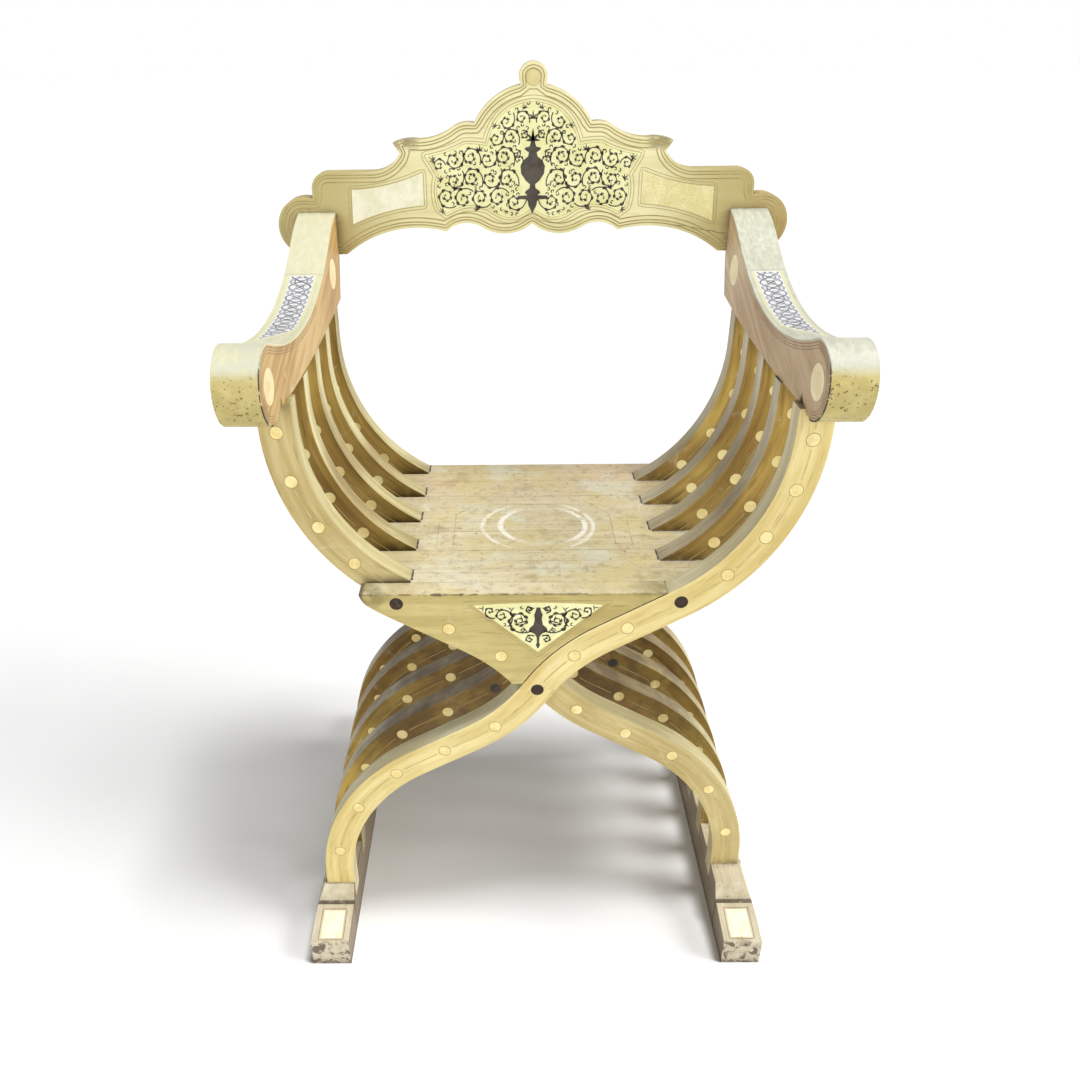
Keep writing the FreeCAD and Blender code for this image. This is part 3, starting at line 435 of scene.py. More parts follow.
def on_arm_inside(shape, side):
    """Stand a flat shape (depth, height about the pivot, out) on the arm's inner face."""
    depth, height, out = shape[0].T
    points = np.stack([arm_reaches(depth)[0] - out, FRONT + depth, PIVOT_HEIGHT + height], axis=1)
    return on_side((points, shape[1][:, ::-1]), side)


# The patterned panel on the arm: its rear end and the inner and outer corner of its slanting front
# end, as depths, and its sides as shares of the arm's half width

PANEL_DEPTHS = {"rear": 0.245, "inner": 0.124, "outer": 0.082}
PANEL_REAR, PANEL_FRONT_INNER, PANEL_FRONT_OUTER = map(length_at_depth, PANEL_DEPTHS.values())
PANEL_INNER, PANEL_OUTER = -0.62, 0.66
PANEL_MIDDLE, PANEL_REACH = (PANEL_INNER + PANEL_OUTER) / 2, (PANEL_OUTER - PANEL_INNER) / 2


def in_arm_panel(path):
    """Which points of a path on the arm's top lie well in the panel with its slanting end."""
    margin = 1.2 * MM
    share = (path[:, 0] - PANEL_INNER) / (PANEL_OUTER - PANEL_INNER)
    front = PANEL_FRONT_INNER + (PANEL_FRONT_OUTER - PANEL_FRONT_INNER) * share
    inside = (share > 0) & (share < 1)
    return inside & (path[:, 1] > front + margin) & (path[:, 1] < PANEL_REAR - margin)


def interlace():
    """Crossing bands of the arm's panel: a pair of sine waves in opposite step, two finer pairs half
    a cell on, and rings of three sizes where they part. Only what lies inside the panel is kept."""
    cell = 21 * MM
    length = np.arange(PANEL_REAR, PANEL_FRONT_OUTER, -0.7 * MM)
    step = (PANEL_REAR - length) / cell
    paths = []
    for size, shift, wide in ((0.86, 0.5, 2.0), (0.5, 1.0, 1.3), (0.9, 1.0, 1.0)):
        for hand in (1, -1):
            wave = PANEL_MIDDLE + PANEL_REACH * hand * size * np.sin(math.pi * (step + shift))
            paths.append((np.stack([wave, length], axis=1), wide))
    for rank in range(9):
        centre = PANEL_REAR - (rank + 0.5) * cell
        for across, along_way, radius, wide in ((0, 0.0, 1.6, 1.6), (0, 0.5, 4.2, 1.0), (0, 0.5, 1.4, 1.4),
                                                (-0.62, 0.0, 2.4, 0.9), (0.62, 0.0, 2.4, 0.9)):
            loop = circle((0, centre + along_way * cell), radius * MM, 14)
            loop[:, 0] = PANEL_MIDDLE + PANEL_REACH * across + loop[:, 0] / ARM_HALF
            paths.append((loop, wide))
    return joined([top_strip(run, wide * MM, 0.1 * MM) for path, wide in paths
                   for run in runs_where(path, in_arm_panel(path), 3)])


# Shader fields and node groups

def feed(made, **inputs):
    """Set a node's inputs, by name or by rank, to values or fields."""
    for key, value in inputs.items():
        socket = made.inputs[int(key[1:])] if key[1:].isdigit() else made.inputs[key.replace("_", " ")]
        if isinstance(value, Field):
            value.tree.links.new(value.socket, socket)
        else:
            socket.default_value = value
    return made


def node(tree, kind, settings=None, **inputs):
    """Add a node with its own settings and its inputs."""
    made = tree.nodes.new(f"ShaderNode{kind}")
    for key, value in (settings or {}).items():
        setattr(made, key, value)
    return feed(made, **inputs)


class Field:
    """The value of a socket. Arithmetic on it adds maths nodes to the socket's tree."""

    def __init__(self, socket):
        self.socket, self.tree = socket, socket.id_data

    def maths(self, operation, other=0.0, clamp=False):
        settings = {"operation": operation, "use_clamp": clamp}
        return Field(node(self.tree, "Math", settings, i0=self, i1=other).outputs[0])

    def __add__(self, other):
        return self.maths("ADD", other)

    def __sub__(self, other):
        return self.maths("SUBTRACT", other)

    def __rsub__(self, other):
        return Field(node(self.tree, "Math", {"operation": "SUBTRACT"}, i0=other, i1=self).outputs[0])

    def __mul__(self, other):
        return self.maths("MULTIPLY", other)

    def __truediv__(self, other):
        return self.maths("DIVIDE", other)

    def __abs__(self):
        return self.maths("ABSOLUTE")


def parts_of(vector):
    return [Field(socket) for socket in node(vector.tree, "SeparateXYZ", i0=vector).outputs]


def vector_of(x, y, z):
    return Field(node(x.tree, "CombineXYZ", i0=x, i1=y, i2=z).outputs[0])


def remap(value, low, high, to_low=0.0, to_high=1.0):
    """Take a field from one range to another, smoothly and held inside it."""
    return Field(node(value.tree, "MapRange", {"interpolation_type": "SMOOTHSTEP"}, Value=value,
                      From_Min=low, From_Max=high, To_Min=to_low, To_Max=to_high).outputs[0])


def near(value, middle, half, soft=0.3 * MM):
    """One where a field is within half a width of a middle, and nothing beyond."""
    return remap(abs(value - middle), half, half + soft, 1.0, 0.0)


def noise(vector, scale, detail=4.0, rough=0.6, twist=0.0):
    return Field(node(vector.tree, "TexNoise", Vector=vector, Scale=scale, Detail=detail,
                      Roughness=rough, Distortion=twist).outputs[0])


def patchy(vector, scale, low, high, detail=4.0, rough=0.6, twist=0.0):
    """Noise spread out from low to high: nothing below and one above."""
    return remap(noise(vector, scale, detail, rough, twist), low, high)


def colour(text):
    """Scene-linear colour of a six-figure web colour."""
    parts = np.array([int(text[k:k + 2], 16) / 255 for k in (0, 2, 4)])
    linear = np.where(parts <= 0.04045, parts / 12.92, ((parts + 0.055) / 1.055) ** 2.4)
    return (*linear.tolist(), 1.0)


def blend(amount, below, above, mode="MIX"):
    """Mix two tones, each a field or a web colour, by an amount."""
    tree = next(part.tree for part in (amount, below, above) if isinstance(part, Field))
    below, above = (colour(part) if isinstance(part, str) else part for part in (below, above))
    mix = node(tree, "Mix", {"data_type": "RGBA", "blend_type": mode}, i0=amount, i6=below, i7=above)
    return Field(mix.outputs[2])


def paint(tone, *coats):
    """Lay coats over a tone one by one, each an amount and a web colour."""
    for amount, shade in coats:
        tone = blend(amount, tone, shade)
    return tone


def make_group(name, results_of, **inputs):
    """Make a node group. Its inputs come with their values, None for a vector. The function takes
    them as fields and returns the results by name."""
    tree = bpy.data.node_groups.new(name, "ShaderNodeTree")
    for label, value in inputs.items():
        kind = "NodeSocketVector" if value is None else "NodeSocketFloat"
        socket = tree.interface.new_socket(name=label, in_out="INPUT", socket_type=kind)
        if value is not None:
            socket.default_value = value
    source = tree.nodes.new("NodeGroupInput")
    results = results_of(*[Field(source.outputs[label]) for label in inputs])
    for label in results:
        tree.interface.new_socket(name=label, in_out="OUTPUT", socket_type="NodeSocketFloat")
    feed(tree.nodes.new("NodeGroupOutput"), **results)
    return tree


def use_group(tree, group, **inputs):
    outputs = node(tree, "Group", {"node_tree": group}, **inputs).outputs
    return {socket.name: Field(socket) for socket in outputs}


def grain(vector, stretch, streaks):
    """Wood grain along the vector's X: stretched noise for streaks and pores, broad for patches."""
    x, y, z = parts_of(vector)
    drawn = vector_of(x / stretch, y, z)
    return {"Streak": patchy(drawn, streaks, 0.3, 0.7, 5.0, 0.62, 0.35),
            "Pore": patchy(drawn, 420.0, 0.60, 0.72, 2.0, 0.5),
            "Patch": patchy(vector, 7.0, 0.35, 0.65, 3.0, 0.5)}


def wear_and_shade(vector, specks, amount, reach):
    """Dark specks from sharp noise, grime and painted shade where the surface isn't open, and pale scuffs.
    """
    level = 0.80 - amount * 0.16
    speck = (noise(vector, specks, 3.0) - level).maths("MULTIPLY", 14.0, True)
    open_way = Field(node(vector.tree, "AmbientOcclusion", {"samples": 6}, Distance=reach).outputs["AO"])
    broken = remap(noise(vector, 60.0), 0.3, 0.6, 0.5, 1.4)
    # Grime and painted shade: ambient occlusion darkens closed-in places, in hollows and between parts.
    return {"Speck": speck, "Grime": (1.0 - open_way).maths("MULTIPLY", broken, True),
            "Scuff": patchy(vector, 28.0, 0.58, 0.72, 6.0, 0.7, 0.8)}


def flow(vector, hand):
    """Place along and across a stave, for grain that follows its curve. Each half is turned onto the
    right arm's half by its sign. Along is an angle times a radius on the waist and the bend, and a
    length on the straight, whichever stretch the point lies beside."""
    x, _, z = parts_of(vector)
    rise = z - PIVOT_HEIGHT
    upper = rise.maths("GREATER_THAN", 0.0)
    sign = upper * 2.0 - 1.0
    x, z = x * hand * sign, rise * sign

    def by_half(arm_value, foot_value):
        return upper * (arm_value - foot_value) + foot_value

    def polar(centre_x, centre_z, turn):
        over_x, over_z = x - centre_x, z - centre_z
        distance = (over_x * over_x + over_z * over_z).maths("SQRT")
        return distance, (over_x * turn).maths("ARCTAN2", over_z * -turn)

    arm_line, foot_line = ARM_STAVE["line"], FOOT_STAVE["line"]
    start, arm_turn, foot_turn = arm_line[0], arm_line[-1], foot_line[-1]
    bend = by_half(ARM_BEND, FOOT_BEND)
    run = by_half(arc_length(arm_line)[-1], arc_length(foot_line)[-1])
    sine, cosine = math.sin(WAIST_ANGLE), math.cos(WAIST_ANGLE)
    radius, angle = polar(by_half(ARM_REACH - ARM_BEND, FOOT_REACH - FOOT_BEND),
                          by_half(arm_turn[1] + ARM_BEND * cosine, foot_turn[1] + FOOT_BEND * cosine), 1.0)
    on_bend = (angle - WAIST_ANGLE) * bend + run, radius - bend
    from_x, from_z = x - start[0], z - start[1]
    on_line = from_x * cosine + from_z * sine, from_x * sine - from_z * cosine
    radius, angle = polar(WAIST_RADIUS * math.sin(PIVOT_ANGLE), -WAIST_RADIUS * math.cos(PIVOT_ANGLE), -1.0)
    on_waist = (WAIST_ANGLE - angle) * WAIST_RADIUS, WAIST_RADIUS - radius
    past_line = on_line[0].maths("GREATER_THAN", run)
    before_line = on_line[0].maths("LESS_THAN", 0.0)
    places = {}
    for label, waist, line, upper_bend in zip(("Along", "Across"), on_waist, on_line, on_bend):
        later = Field(node(vector.tree, "Mix", i0=past_line, i2=line, i3=upper_bend).outputs[0])
        place = Field(node(vector.tree, "Mix", i0=before_line, i2=later, i3=waist).outputs[0])
        places[label] = place * sign
    return places


GRAIN = make_group("wood_grain", grain, Vector=None, Stretch=14.0, Streaks=90.0)
WEAR_AND_SHADE = make_group("wear_and_shade", wear_and_shade, Vector=None, Specks=230.0, Amount=0.5, Reach=0.012)
FLOW = make_group("stave_flow", flow, Vector=None, Hand=1.0)


# Materials

FINISH, STARTS = {}, {}


def start_material(name, starts=""):
    """Make a material for parts whose names start so, and return its shader, its tree and the
    object's coordinates."""
    material = FINISH[name] = bpy.data.materials.new(name)
    STARTS.update(dict.fromkeys(starts.split(), material))
    material.use_nodes = True
    tree = material.node_tree
    return tree.nodes["Principled BSDF"], tree, Field(node(tree, "TexCoord").outputs["Object"])


def wood(name, shades, starts, turn=(0, 0, 0), specks=0.5, grime=0.8, scuffs=0.25, stretch=14.0,
         streaks=90.0, pores=0.35, patches=0.28, bump=0.25, marks=None, reach=0.012, hand=None):
    """Waxed old wood: streaks blend light to dark, patches shift them, pores, specks, grime and
    painted shade darken, and faces that look sideways take the edge's shades. The grain runs along
    the turned X axis, or along the curve of a stave where a hand is given."""
    light, dark, *edge = shades.split()
    shader, tree, where = start_material(name, starts)
    x, y, z = parts_of(where)
    if hand is None:
        vector = Field(node(tree, "Mapping", Vector=where, Rotation=turn).outputs[0])
    else:
        place = use_group(tree, FLOW, Vector=where, Hand=float(hand))
        vector = vector_of(place["Along"], y, place["Across"])
    fibres = use_group(tree, GRAIN, Vector=vector, Stretch=stretch, Streaks=streaks)
    worn = use_group(tree, WEAR_AND_SHADE, Vector=where, Amount=specks, Reach=reach)
    tone = blend(fibres["Streak"], dark, light)
    if edge:
        facing = parts_of(Field(node(tree, "NewGeometry").outputs["Normal"]))[1]
        tone = blend(remap(abs(facing), 0.3, 0.7), blend(fibres["Streak"], edge[1], edge[0]), tone)
    tone = blend(fibres["Patch"] * patches, tone, dark, "MULTIPLY")
    tone = blend(worn["Scuff"] * scuffs, tone, "F1EBD0")
    tone = blend(fibres["Pore"] * pores, tone, "6B5430", "MULTIPLY")
    if marks is not None:
        tone = marks(tone, where, x, y, z)
    # Dark specks, then grime with painted shade from ambient occlusion in closed-in places.
    tone = paint(tone, (worn["Speck"] * 0.75, "3A2A1A"), (worn["Grime"] * grime, "2E2212"))
    gloss = fibres["Streak"] * -0.12 + 0.56 + worn["Grime"] * 0.2
    height = fibres["Streak"] * 0.5 - fibres["Pore"] * (pores * 2) - worn["Speck"]
    relief = Field(node(tree, "Bump", Strength=bump, Distance=0.6 * MM, Height=height).outputs[0])
    feed(shader, Base_Color=tone, Roughness=gloss, Normal=relief, Specular_IOR_Level=0.35)


def inlay(name, shades, starts="", rough=0.4, scale=60.0, crackle=0.0):
    """Bone, pale wood or dark wood let into the surface: faint cloudy colour, fine scratches, and
    where the crackle asks for it a mesh of fine darker veins."""
    light, dark = shades.split()
    shader, tree, where = start_material(name, starts)
    fine = noise(where, 900.0, 2.0, 0.5)
    worn = use_group(tree, WEAR_AND_SHADE, Vector=where, Amount=0.3, Specks=420.0, Reach=0.004)
    tone = blend(patchy(where, scale, 0.35, 0.65, twist=0.3), dark, light)
    if crackle:
        cells = Field(node(tree, "TexVoronoi", {"feature": "DISTANCE_TO_EDGE"}, Vector=where,
                           Scale=330.0).outputs[0])
        tone = blend(remap(cells, 0.02, 0.14, 1.0, 0.0) * crackle, tone, dark, "MULTIPLY")
    tone = blend(worn["Speck"] * 0.5, tone, "4A3822")
    relief = Field(node(tree, "Bump", Strength=0.12, Distance=0.3 * MM, Height=fine).outputs[0])
    feed(shader, Base_Color=tone, Roughness=remap(fine, 0.3, 0.7, rough - 0.06, rough + 0.08),
         Normal=relief, Specular_IOR_Level=0.4)


# Marks, wear and painted shade of single parts, painted on their wood at places in the chair's frame

def veneer_marks(tone, where, x, y, z):
    """The left arm is creamier. The panel has a white ground, a pale yellow border and a fine line at
    its rear. The lobe is yellow and speckled below its middle and dark at its lower edge."""
    tone = blend(remap(x, 0.0, -0.2, 0.0, 0.6), tone, "D6D0A8")
    depth = y - FRONT
    inner, outer = arm_reaches(depth)
    share = (abs(x) * 2.0 - inner - outer) / (outer - inner)
    slant = (PANEL_DEPTHS["inner"] - PANEL_DEPTHS["outer"]) / (PANEL_OUTER - PANEL_INNER)
    behind = depth - (PANEL_DEPTHS["inner"] - (share - PANEL_INNER) * slant)
    before_rear = remap(depth, PANEL_DEPTHS["rear"], PANEL_DEPTHS["rear"] + 0.4 * MM, 1.0, 0.0)
    ground = near(share, PANEL_MIDDLE, PANEL_REACH, 0.02) * remap(behind, 0.0, 0.4 * MM) * before_rear
    off_middle = abs(share - PANEL_MIDDLE)
    border = remap(off_middle, PANEL_REACH + 0.13, PANEL_REACH + 0.16, 1.0, 0.0) * before_rear
    border = border * remap(behind, -8 * MM, -6.5 * MM)
    tone = paint(tone, (border * 0.8, "D6D3A4"), (ground, "DADADA"))
    for gap in (0.03, 0.16):
        line = near(off_middle, PANEL_REACH + gap, 0.012, 0.012) * before_rear * remap(depth, 0.07, 0.09)
        tone = blend(line * 0.45, tone, "B4B08A")
    seam = near(depth, PANEL_DEPTHS["rear"] + 2.5 * MM, 0.5 * MM)
    lobe = remap(y, -0.170, -0.182)
    low = lobe * remap(z, 0.722, 0.709)
    haze = lobe * patchy(where, 30.0, 0.42, 0.62, 5.0, 0.65)
    blotch = low * patchy(where, 45.0, 0.35, 0.6, 5.0, 0.65)
    dents = low * patchy(where, 300.0, 0.60, 0.66, 3.0)
    tone = paint(tone, (seam * 0.6, "A9A98C"), (haze * 0.7, "C4C5B4"), (low * 0.85, "C6B56C"),
                 (blotch * 0.5, "A3904B"), (dents * 0.85, "4A3A1E"))
    rim = lobe * remap(z, 0.6665, 0.6625) * patchy(where, 90.0, 0.38, 0.52)
    inner_rim = lobe * remap(z, 0.735, 0.715) * remap(share, -0.93, -0.975)
    inner_rim = inner_rim * patchy(where, 130.0, 0.38, 0.48)
    return blend(rim.maths("MAXIMUM", inner_rim), tone, "2C2316")


def seat_marks_and_shade(tone, where, x, y, z):
    """Two pale worn rings, a fainter one before them, a fine line frame with cut corners at each
    side, a pinker back, yellow and dark stains, and painted shade from the staves at both sides."""
    tone = blend(remap(y, 0.02, 0.15) * 0.7, tone, "D2BA98")
    for scale, low, high, amount, shade in (
            (11.0, 0.44, 0.60, 0.65, "D0C086"), (15.0, 0.50, 0.62, 0.55, "D8D8C4"),
            (26.0, 0.54, 0.68, 0.45, "A08C62"), (90.0, 0.52, 0.66, 0.40, "9A8660"),
            (230.0, 0.58, 0.68, 0.45, "6E5A38")):
        tone = blend(patchy(where, scale, low, high, 5.0, 0.68) * amount, tone, shade)
    depth = (y - FRONT).maths("MODULO", PITCH)
    open_seam = patchy(where, 16.0, 0.50, 0.62, 5.0, 0.7)
    for joint in (0.0, STAVE, LEFT_STEP + STAVE):
        tone = blend(near(depth, joint, 0.35 * MM, 0.5 * MM) * open_seam * 0.5, tone, "7A6848")
    # Painted shade from the staves: greyer towards both sides of the seat.
    tone = blend(remap(abs(x), 0.115, 0.150) * 0.2, tone, "A39A84")
    broken = patchy(where, 75.0, 0.30, 0.52)
    wobble = (noise(where, 14.0, 2.0, 0.5) - 0.5) * (6 * MM)
    for centre_x, centre_y, radius, half, strength in (
            (0.004, -0.014, 0.064, 0.8, 0.7), (0.010, -0.012, 0.049, 1.6, 0.95),
            (0.014, -0.010, 0.055, 0.8, 0.4)):
        over_x, over_y = x - centre_x, y - centre_y
        distance = (over_x * over_x + over_y * over_y).maths("SQRT") + wobble
        flank = remap(abs(over_x), 0.35 * radius, 0.8 * radius, 0.12, 1.0)
        ring = near(distance, radius, half * MM, 2.6 * MM) * broken * flank
        tone = blend(ring * strength, tone, "F6F2E6")
    side = abs(x + 1 * MM)
    corner = near(side + y * 0.75, 0.1037, 0.5 * MM) * near(y, 0.027, 0.010, 1 * MM)
    lines = [near(side, reach, 0.4 * MM) * near(y, (low + high) / 2, (high - low) / 2, 1 * MM)
             for reach, low, high in ((0.091, -0.062, 0.017), (0.110, -0.069, -0.002))]
    return paint(tone, *((line * broken * 0.55, "8C7A58") for line in (*lines, corner)))


def apron_marks_and_shade(tone, where, x, y, z):
    """The seat's marks and painted shade on top, and a dark chipped arris where the top meets the front."""
    top = seat_marks_and_shade(blend(0.85, tone, "E0D6BA"), where, x, y, z)
    tone = blend(remap(z, SEAT_TOP - 0.4 * MM, SEAT_TOP - 0.1 * MM), tone, top)
    chips = patchy(where, 95.0, 0.44, 0.56, 5.0, 0.75) * remap(x, 0.12, -0.10, 0.55, 1.0)
    ragged = noise(where, 60.0, 3.0) * (5 * MM)
    arris = remap(z + ragged - SEAT_TOP, -0.2 * MM, 1.8 * MM)
    arris = arris * remap(y - ragged - FRONT, 0.1 * MM, -1.9 * MM)
    patch = remap(abs(x + 0.02), 0.105, 0.150) * remap(z, 0.450, 0.466) * patchy(where, 40.0, 0.34, 0.60)
    stripe = patchy(where, 24.0, 0.45, 0.65, 5.0, 0.65, 0.5)
    end = remap(x, -0.1785, -0.1825) * remap(z, 0.455, 0.463)
    return paint(tone, (arris * chips * 0.85, "4C3B24"), (patch * 0.65, "75683A"),
                 (stripe * 0.30, "A8955A"), (end * 0.75, "3E3120"))


def foot_marks_and_shade(tone, where, x, y, z):
    """Painted shade on the inner sides, chipped and scuffed toe ends, dark grooves across the toes, and
    dirt that creeps up from the floor."""
    # Painted shade on each foot's inner side, which faces in under the chair.
    inside = remap(abs(x), 0.2246, 0.2250, 1.0, 0.0)
    ahead = abs(y)
    end = remap(ahead, 0.2440, 0.2452)
    edge = end.maths("MAXIMUM", remap(ahead, 0.238, 0.246, 0.0, 0.6))
    flake = patchy(where, 85.0, 0.50, 0.56, 5.0, 0.7, 0.6)
    groove = near(ahead, 0.1885, 2.4 * MM, 0.6 * MM) * patchy(where, 60.0, 0.30, 0.45)
    dirt = remap(z, 0.012, 0.0) * patchy(where, 50.0, 0.35, 0.6)
    return paint(tone, (inside * 0.8, "5E4830"), (end * 0.4, "C9BEA6"), (edge * flake * 0.85, "4A3B2C"),
                 (groove * 0.8, "463626"), (dirt * 0.6, "5A4A38"))


def stave_painted_shade(tone, where, x, y, z):
    """Painted shade: darker and greyer below the seat, a little darker just above it, in uneven patches."""
    low = remap(z, 0.30, 0.44, 1.0, 0.0) * remap(z, 0.12, 0.26)
    above = remap(z, 0.50, 0.62, 1.0, 0.0) * remap(z, 0.44, 0.46)
    uneven = remap(noise(where, 22.0, 5.0, 0.65), 0.34, 0.62, 0.35, 1.0)
    return paint(tone, (low * uneven * 0.8, "554020"), (above * uneven * 0.25, "7A6832"))


def crest_marks(tone, where, x, y, z):
    """Dark handling marks on the tips of the horns, darker ends, a brown patch at the right end and
    a hairline crack low on the right."""
    side = abs(x)
    tip = near(side, 0.146, 8 * MM, 14 * MM) * remap(z, 0.849, 0.858) * patchy(where, 60.0, 0.36, 0.56)
    brown = patchy(where, 24.0, 0.3, 0.6) * remap(x, 0.23, 0.28)
    slope = z + x * 0.16 + noise(where, 60.0, 3.0, 0.5) * (4 * MM)
    crack = near(slope, 0.8005, 0.25 * MM, 0.3 * MM) * near(x, 0.195, 0.03, 2 * MM)
    return paint(tone, (tip * 0.7, "6E6042"), (remap(side, 0.13, 0.24) * 0.8, "AE9C60"),
                 (brown * 0.5, "A8854A"), (crack * 0.8, "5A4828"))


# Finishes of this chair: the light and the dark shade, of some woods those of the edge, and the
# starts of the names of its parts. A part takes the longest start that its name has.

ALONG_Y = (0, 0, math.pi / 2)
ARM = {"turn": (math.radians(-24), 0, math.pi / 2), "pores": 0.25, "patches": 0.4}
# Deeper staves: grime and painted shade over a wide reach, and painted shade below the seat.
INNER_STAVE = {"pores": 0.45, "patches": 0.6, "grime": 1.0, "reach": 0.03, "marks": stave_painted_shade}
# The right staves' edge shades are their edge colour painted lighter, to lift the arm's shadow on them.
wood("right_front_wood", "EDDDA0 D6C07A E2DAB6 CAC19C", "stave_right_1", hand=1, pores=0.25)
wood("left_front_wood", "D4C48E BAA468 CCC294 B4A878", "stave_left_1", hand=-1, pores=0.25)
wood("right_wood", "CCAF5C 967634 DCD4B6 B8AE92", "stave_right", hand=1, **INNER_STAVE)
wood("left_wood", "D0B05A 967834 DCD2A0 B8AC7C", "stave_left", hand=-1, **INNER_STAVE)
wood("crest_wood", "F0E9BA E2DAA8 B8A870 9C8C58", "crest_rail", pores=0.12, patches=0.2, marks=crest_marks)
# Painted light and shade: the right arm's wood is lighter and the left's darker, to offset the shade on the
# right arm's inner face and the direct light on the left's.
wood("arm_left_wood", "CEB076 AC894E", "arm_left", **ARM)
wood("arm_right_wood", "DEC6A2 C2AA86", "arm_right", **ARM)
wood("veneer_wood", "CFCFBE B8B8A4", "arm_right_veneer arm_left_veneer", turn=ALONG_Y, specks=0.25,
     scuffs=0.15, streaks=190.0, stretch=30.0, pores=0.15, patches=0.12, marks=veneer_marks)
wood("seat_wood", "E0D6B6 CFC39E", "seat_slat", pores=0.3, patches=0.25, specks=0.8, scuffs=0.5,
     streaks=120.0, marks=seat_marks_and_shade)
wood("apron_wood", "D0C080 BBA96A", "front_apron", pores=0.25, specks=0.6, marks=apron_marks_and_shade)
wood("foot_wood", "D6CDB4 BDB195", "foot", turn=ALONG_Y, specks=0.9, scuffs=0.5, pores=0.25,
     marks=foot_marks_and_shade)
wood("rod_wood", "3E271A 22140C", "pivot_rod seat_rod", bump=0.15)
wood("peg_wood", "A88C5C 86693C",
     "arm_right_pegs arm_left_pegs foot_left_pegs foot_right_pegs crest_tongues pivot")
inlay("bone", "F2E3A4 E4CC84", "stave_right_discs stave_left_discs apron_discs")
# Painted light and shade: the right arm's discs take a lighter bone to offset the shade on its inner face,
# and the lit left arm's discs a darker one.
inlay("arm_bone", "FAEEC6 EEDCA8", "arm_right_discs")
inlay("lit_arm_bone", "E6D3A0 D8BE88", "arm_left_discs")
inlay("crest_bone", "DCCF94 CFC07E", "crest_finial_disc")
inlay("cream_panel", "F0EEB8 E4DFA0", "crest_centre_panel apron_panel")
inlay("left_panel", "F2F0D8 E5E3C2", "crest_side_panel_left", crackle=0.2)
inlay("right_panel", "EEE6B4 E2D89C", "crest_side_panel_right", crackle=0.45)
inlay("cream_tile", "F6F2D6 EAE2BC", "foot_left_inlay foot_right_inlay", scale=140.0)
inlay("dark_inlay", "4E463C 332B22", rough=0.5)
inlay("grey_inlay", "85858C 5C5C66", rough=0.5)
inlay("string_pale", "E3D596 CDB972")
inlay("string_worn", "BFA868 9E884A")
inlay("string_dark", "BAA262 9C844A")
inlay("groove_shade", "B4A56A 9C8E54", rough=0.6)
inlay("ring_dark", "9A8244 765E2C", rough=0.6)
inlay("arm_groove", "9A8060 7C6448", rough=0.6)

for name, thing in nodes.items():
    longest = max((start for start in STARTS if name.startswith(start)), key=len)
    thing.data.materials.clear()
    thing.data.materials.append(STARTS[longest])


# Stringing, disc rims and empty sockets on the staves

def disc_plate(centre):
    """A thin round plate: a strip along its own width, which follows the circle's chord."""
    share = np.linspace(-0.995, 0.995, 17)
    path = np.asarray(centre) + DISC_RADIUS * np.stack([share, 0 * share], axis=1)
    return strip(path, 2 * DISC_RADIUS * np.sqrt(1 - share ** 2), 0.1 * MM)


def grooves(paths, width, rise=0.1):
    return joined([strip(path, width * MM, rise * MM) for path in paths])


def disc_rims(centres):
    return [circle(centre + [0, PIVOT_HEIGHT], DISC_RADIUS + 0.2 * MM) for centre in centres]


def dress(start, y, body, *pieces):
    """Stand flat pieces on a front face: the ends of their names, their shapes, unused slots and finishes.
    """
    for end, shape, slot, finish in pieces:
        new_piece(f"{start}_{end}", on_front(shape, y), body, finish)


def dress_staves():
    """Strings run between the discs, and pass clear of the rods and, behind the front stave, of the
    pivot."""
    rod_clearance, pivot_clearance = 9 * MM, 17 * MM
    for side, rank in STAVES:
        hand = [HAND[side], 1]
        line = resampled(stave_line(side), 3 * MM)
        discs, sockets = disc_centres(side, rank)
        stops = discs + sockets + [np.array(rod) * hand for rod in SEAT_RODS]
        if (side, rank) != ("right", 0):
            line = line[np.linalg.norm(line, axis=1) > pivot_clearance]
        runs = [resampled(run, 5 * MM) for run in runs_where(line, gaps_to(line, stops) > rod_clearance)]
        runs = [run + [0, PIVOT_HEIGHT] for run in runs if len(run) > 2]
        dress(f"stave_{side}_{rank + 1}", stave_front(side, rank), STAVE_BODY[side],
              ("shade", grooves(runs, 1.3, 0.07), "bone", "string_dark"),
              ("string", grooves(runs, 0.7, 0.11), "bone", "string_worn" if rank else "string_pale"),
              ("rims", grooves(disc_rims(discs), 0.6), "bone", "ring_dark"),
              *(("socket", disc_plate(centre + [0, PIVOT_HEIGHT]), "dark_wood", "dark_inlay")
                for centre in sockets))


# Mouldings, panel frames and scrollwork of the crest and the apron

def profile_frame(corners, distances, closed_half=True):
    outline = bulged(corners, closed_half)
    return [inset(outline, distance * MM) for distance in distances]


def scrolls(tendrils, palmettes, leaves, thick, outline, start):
    """A scrollwork of two like halves: tendrils, and palmettes of so many leaves, from their tables
    in millimetres, with sprigs in the gaps inside the outline."""
    half = []
    for row in tendrils:
        half += tendril(*row, thick)
    for row in palmettes:
        half += palmette(*row, leaves)
    half += sprigs(half, outline, start)
    return half + [mirrored(shape) for shape in half]


